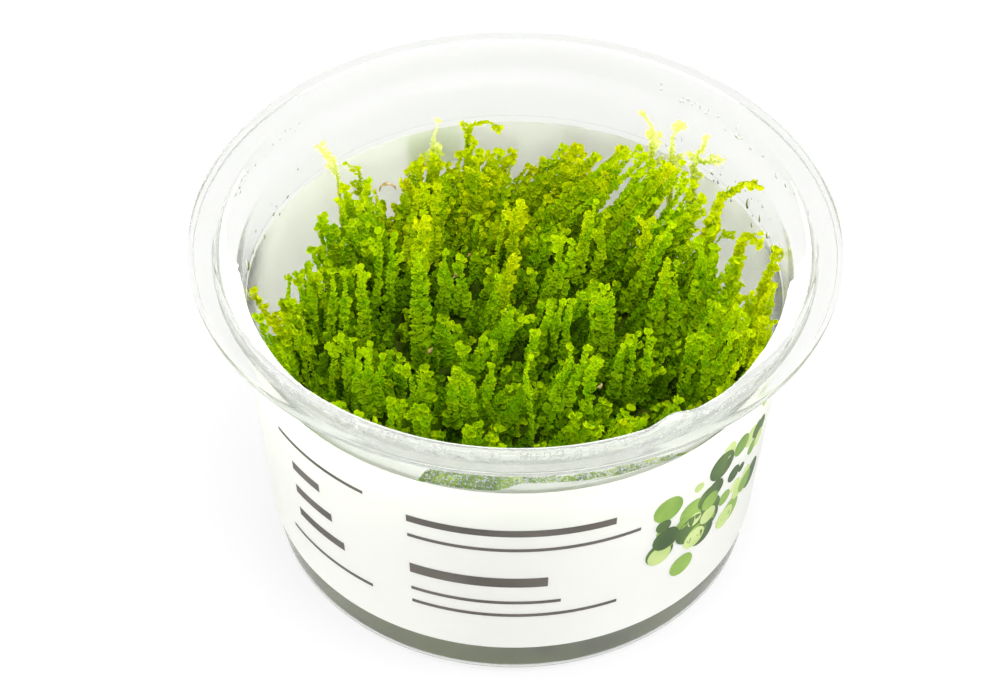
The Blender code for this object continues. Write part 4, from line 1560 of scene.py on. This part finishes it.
# the shoots painted pale for the strong light on them, and how far along its colours each paler shoot
# starts: a later start is painted light on shoots by the lit walls
paintedLitShoots = ("leafyBackLeftTall", "leafyBackThin", "leafyBackRightInner", "leafyBackRightMiddle",
               "leafyBackRightFork", "leafyBackRightBranch")
paleFrom = {"leafyBackLeftTall": 0.45, "leafyBackThin": 0.20, "leafyBackRightInner": 0.35,
            "leafyBackRightMiddle": 0.35, "leafyBackRightFork": 0.10, "leafyBackRightBranch": 0.30,
            "leafyRightLeaning": 0.75, "leafyRightWall": 0.85, "leafyRightArch": 0.80, "leafyLeftWall": 0.75}


freeSet = {
    # the second tint is for the shoots painted pale as painted light
    "seed": 100, "ranks": 3, "tint": 0.90, "paintedLitTint": 0.5, "paleFrom": 0.50,
    "stemSpacing": 0.8, "stemRadius": (0.22, 0.12),
}


def growFreeShoots(look=freeSet):
    for number, (node, name, kind, scale, points) in enumerate(freeShoots):
        heap = LeafHeap(look["seed"] + number)
        # shoots painted pale as painted light get the paler finish
        paintedLit = name in paintedLitShoots
        tint = look["paintedLitTint"] if paintedLit else look["tint"]
        route = np.array(points) * mm
        facing = frontFacing + 0.3 * math.sin(number)
        growShoot(heap, route, kind, facing, scale=scale, tint=tint, ranks=look["ranks"],
                  low=paleFrom.get(name, look["paleFrom"]), high=1.0, sprigs=4 if scale > 0.9 else 3)
        centre = alongRoute(route, look["stemSpacing"] * mm)
        radii = np.linspace(*look["stemRadius"], len(centre)) * mm
        heap.stems.append(stemTube(centre, radii, tint))
        piece = meshFromHeap(name, heap, leafPaintedLit if paintedLit else leafGreen)
        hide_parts(node)


growFreeShoots()
print("free shoots grown")


tipDropSet = {"seed": 23, "radius": (0.22, 0.50), "around": 10, "rings": 5}


def makeTipDrops(look=tipDropSet):
    # small beads of water that hang on wet tips
    random = np.random.default_rng(look["seed"])
    around = look["around"]
    rings = look["rings"]
    vertices, faces = [], []
    for tip in wetTips:
        radius = random.uniform(*look["radius"]) * mm
        start = len(vertices)
        for level in np.linspace(-math.pi / 2, math.pi / 2, rings + 2)[1:-1]:
            for turn in np.linspace(0, 2 * math.pi, around, endpoint=False):
                vertices.append((tip[0] + radius * math.cos(level) * math.cos(turn),
                                 tip[1] + radius * math.cos(level) * math.sin(turn),
                                 tip[2] + radius * math.sin(level)))
        lowest = len(vertices)
        vertices.append((tip[0], tip[1], tip[2] - radius))
        vertices.append((tip[0], tip[1], tip[2] + radius))
        lastRing = lowest - around
        for step in range(around):
            after = (step + 1) % around
            for ring in range(rings - 1):
                a, b = start + ring * around + step, start + ring * around + after
                faces.append((a, b, b + around, a + around))
            faces.append((start + after, start + step, lowest))
            faces.append((lastRing + step, lastRing + after, lowest + 1))
    piece = addPiece("tipDrops", vertices, faces, dropWater)
    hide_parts("moss_cushion")


driedSet = {
    "spacing": 0.2, "sides": 7,
    # small dried bits caught in the moss: thickness in the middle, points of the route
    "bits": [
        (0.30, [(-13.2, -9.9, 41.6), (-12.9, -10.3, 42.6), (-12.5, -10.4, 43.4)]),
        (0.22, [(-9.8, 7.0, 42.0), (-9.4, 6.8, 42.7), (-9.3, 6.4, 43.6)]),
        (0.20, [(-7.6, 11.8, 42.4), (-7.3, 11.4, 43.0), (-7.2, 11.1, 43.6)]),
        (0.26, [(12.8, -17.4, 42.2), (13.3, -17.7, 42.8), (13.5, -17.6, 43.4)]),
        (0.24, [(-22.2, 26.0, 43.4), (-21.9, 26.0, 44.6), (-20.8, 26.0, 45.1), (-19.8, 26.0, 44.6),
                (-19.5, 26.0, 43.8)]),
    ],
}


def makeDriedBits(look=driedSet):
    around = look["sides"]
    vertices, faces = [], []
    for thick, points in look["bits"]:
        route = alongRoute(np.array(points) * mm, look["spacing"] * mm)
        share = np.linspace(0, math.pi, len(route))
        radii = thick * mm * (0.25 + 0.75 * np.sin(share)) * (1 + 0.2 * np.sin(5 * share))
        tube, sides, paint = stemTube(route, radii, 0.5, around)
        start = len(vertices)
        vertices += [tuple(point) for point in tube]
        faces += [tuple(start + corner for corner in side) for side in sides.tolist()]
        last = start + around * (len(route) - 1)
        # the two ends are closed
        faces.append(tuple(start + around - 1 - step for step in range(around)))
        faces.append(tuple(last + step for step in range(around)))
    piece = addPiece("driedBits", vertices, faces, driedLeaf)
    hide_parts("moss_cushion")


makeTipDrops()
makeDriedBits()
print("tip drops and dried bits made")
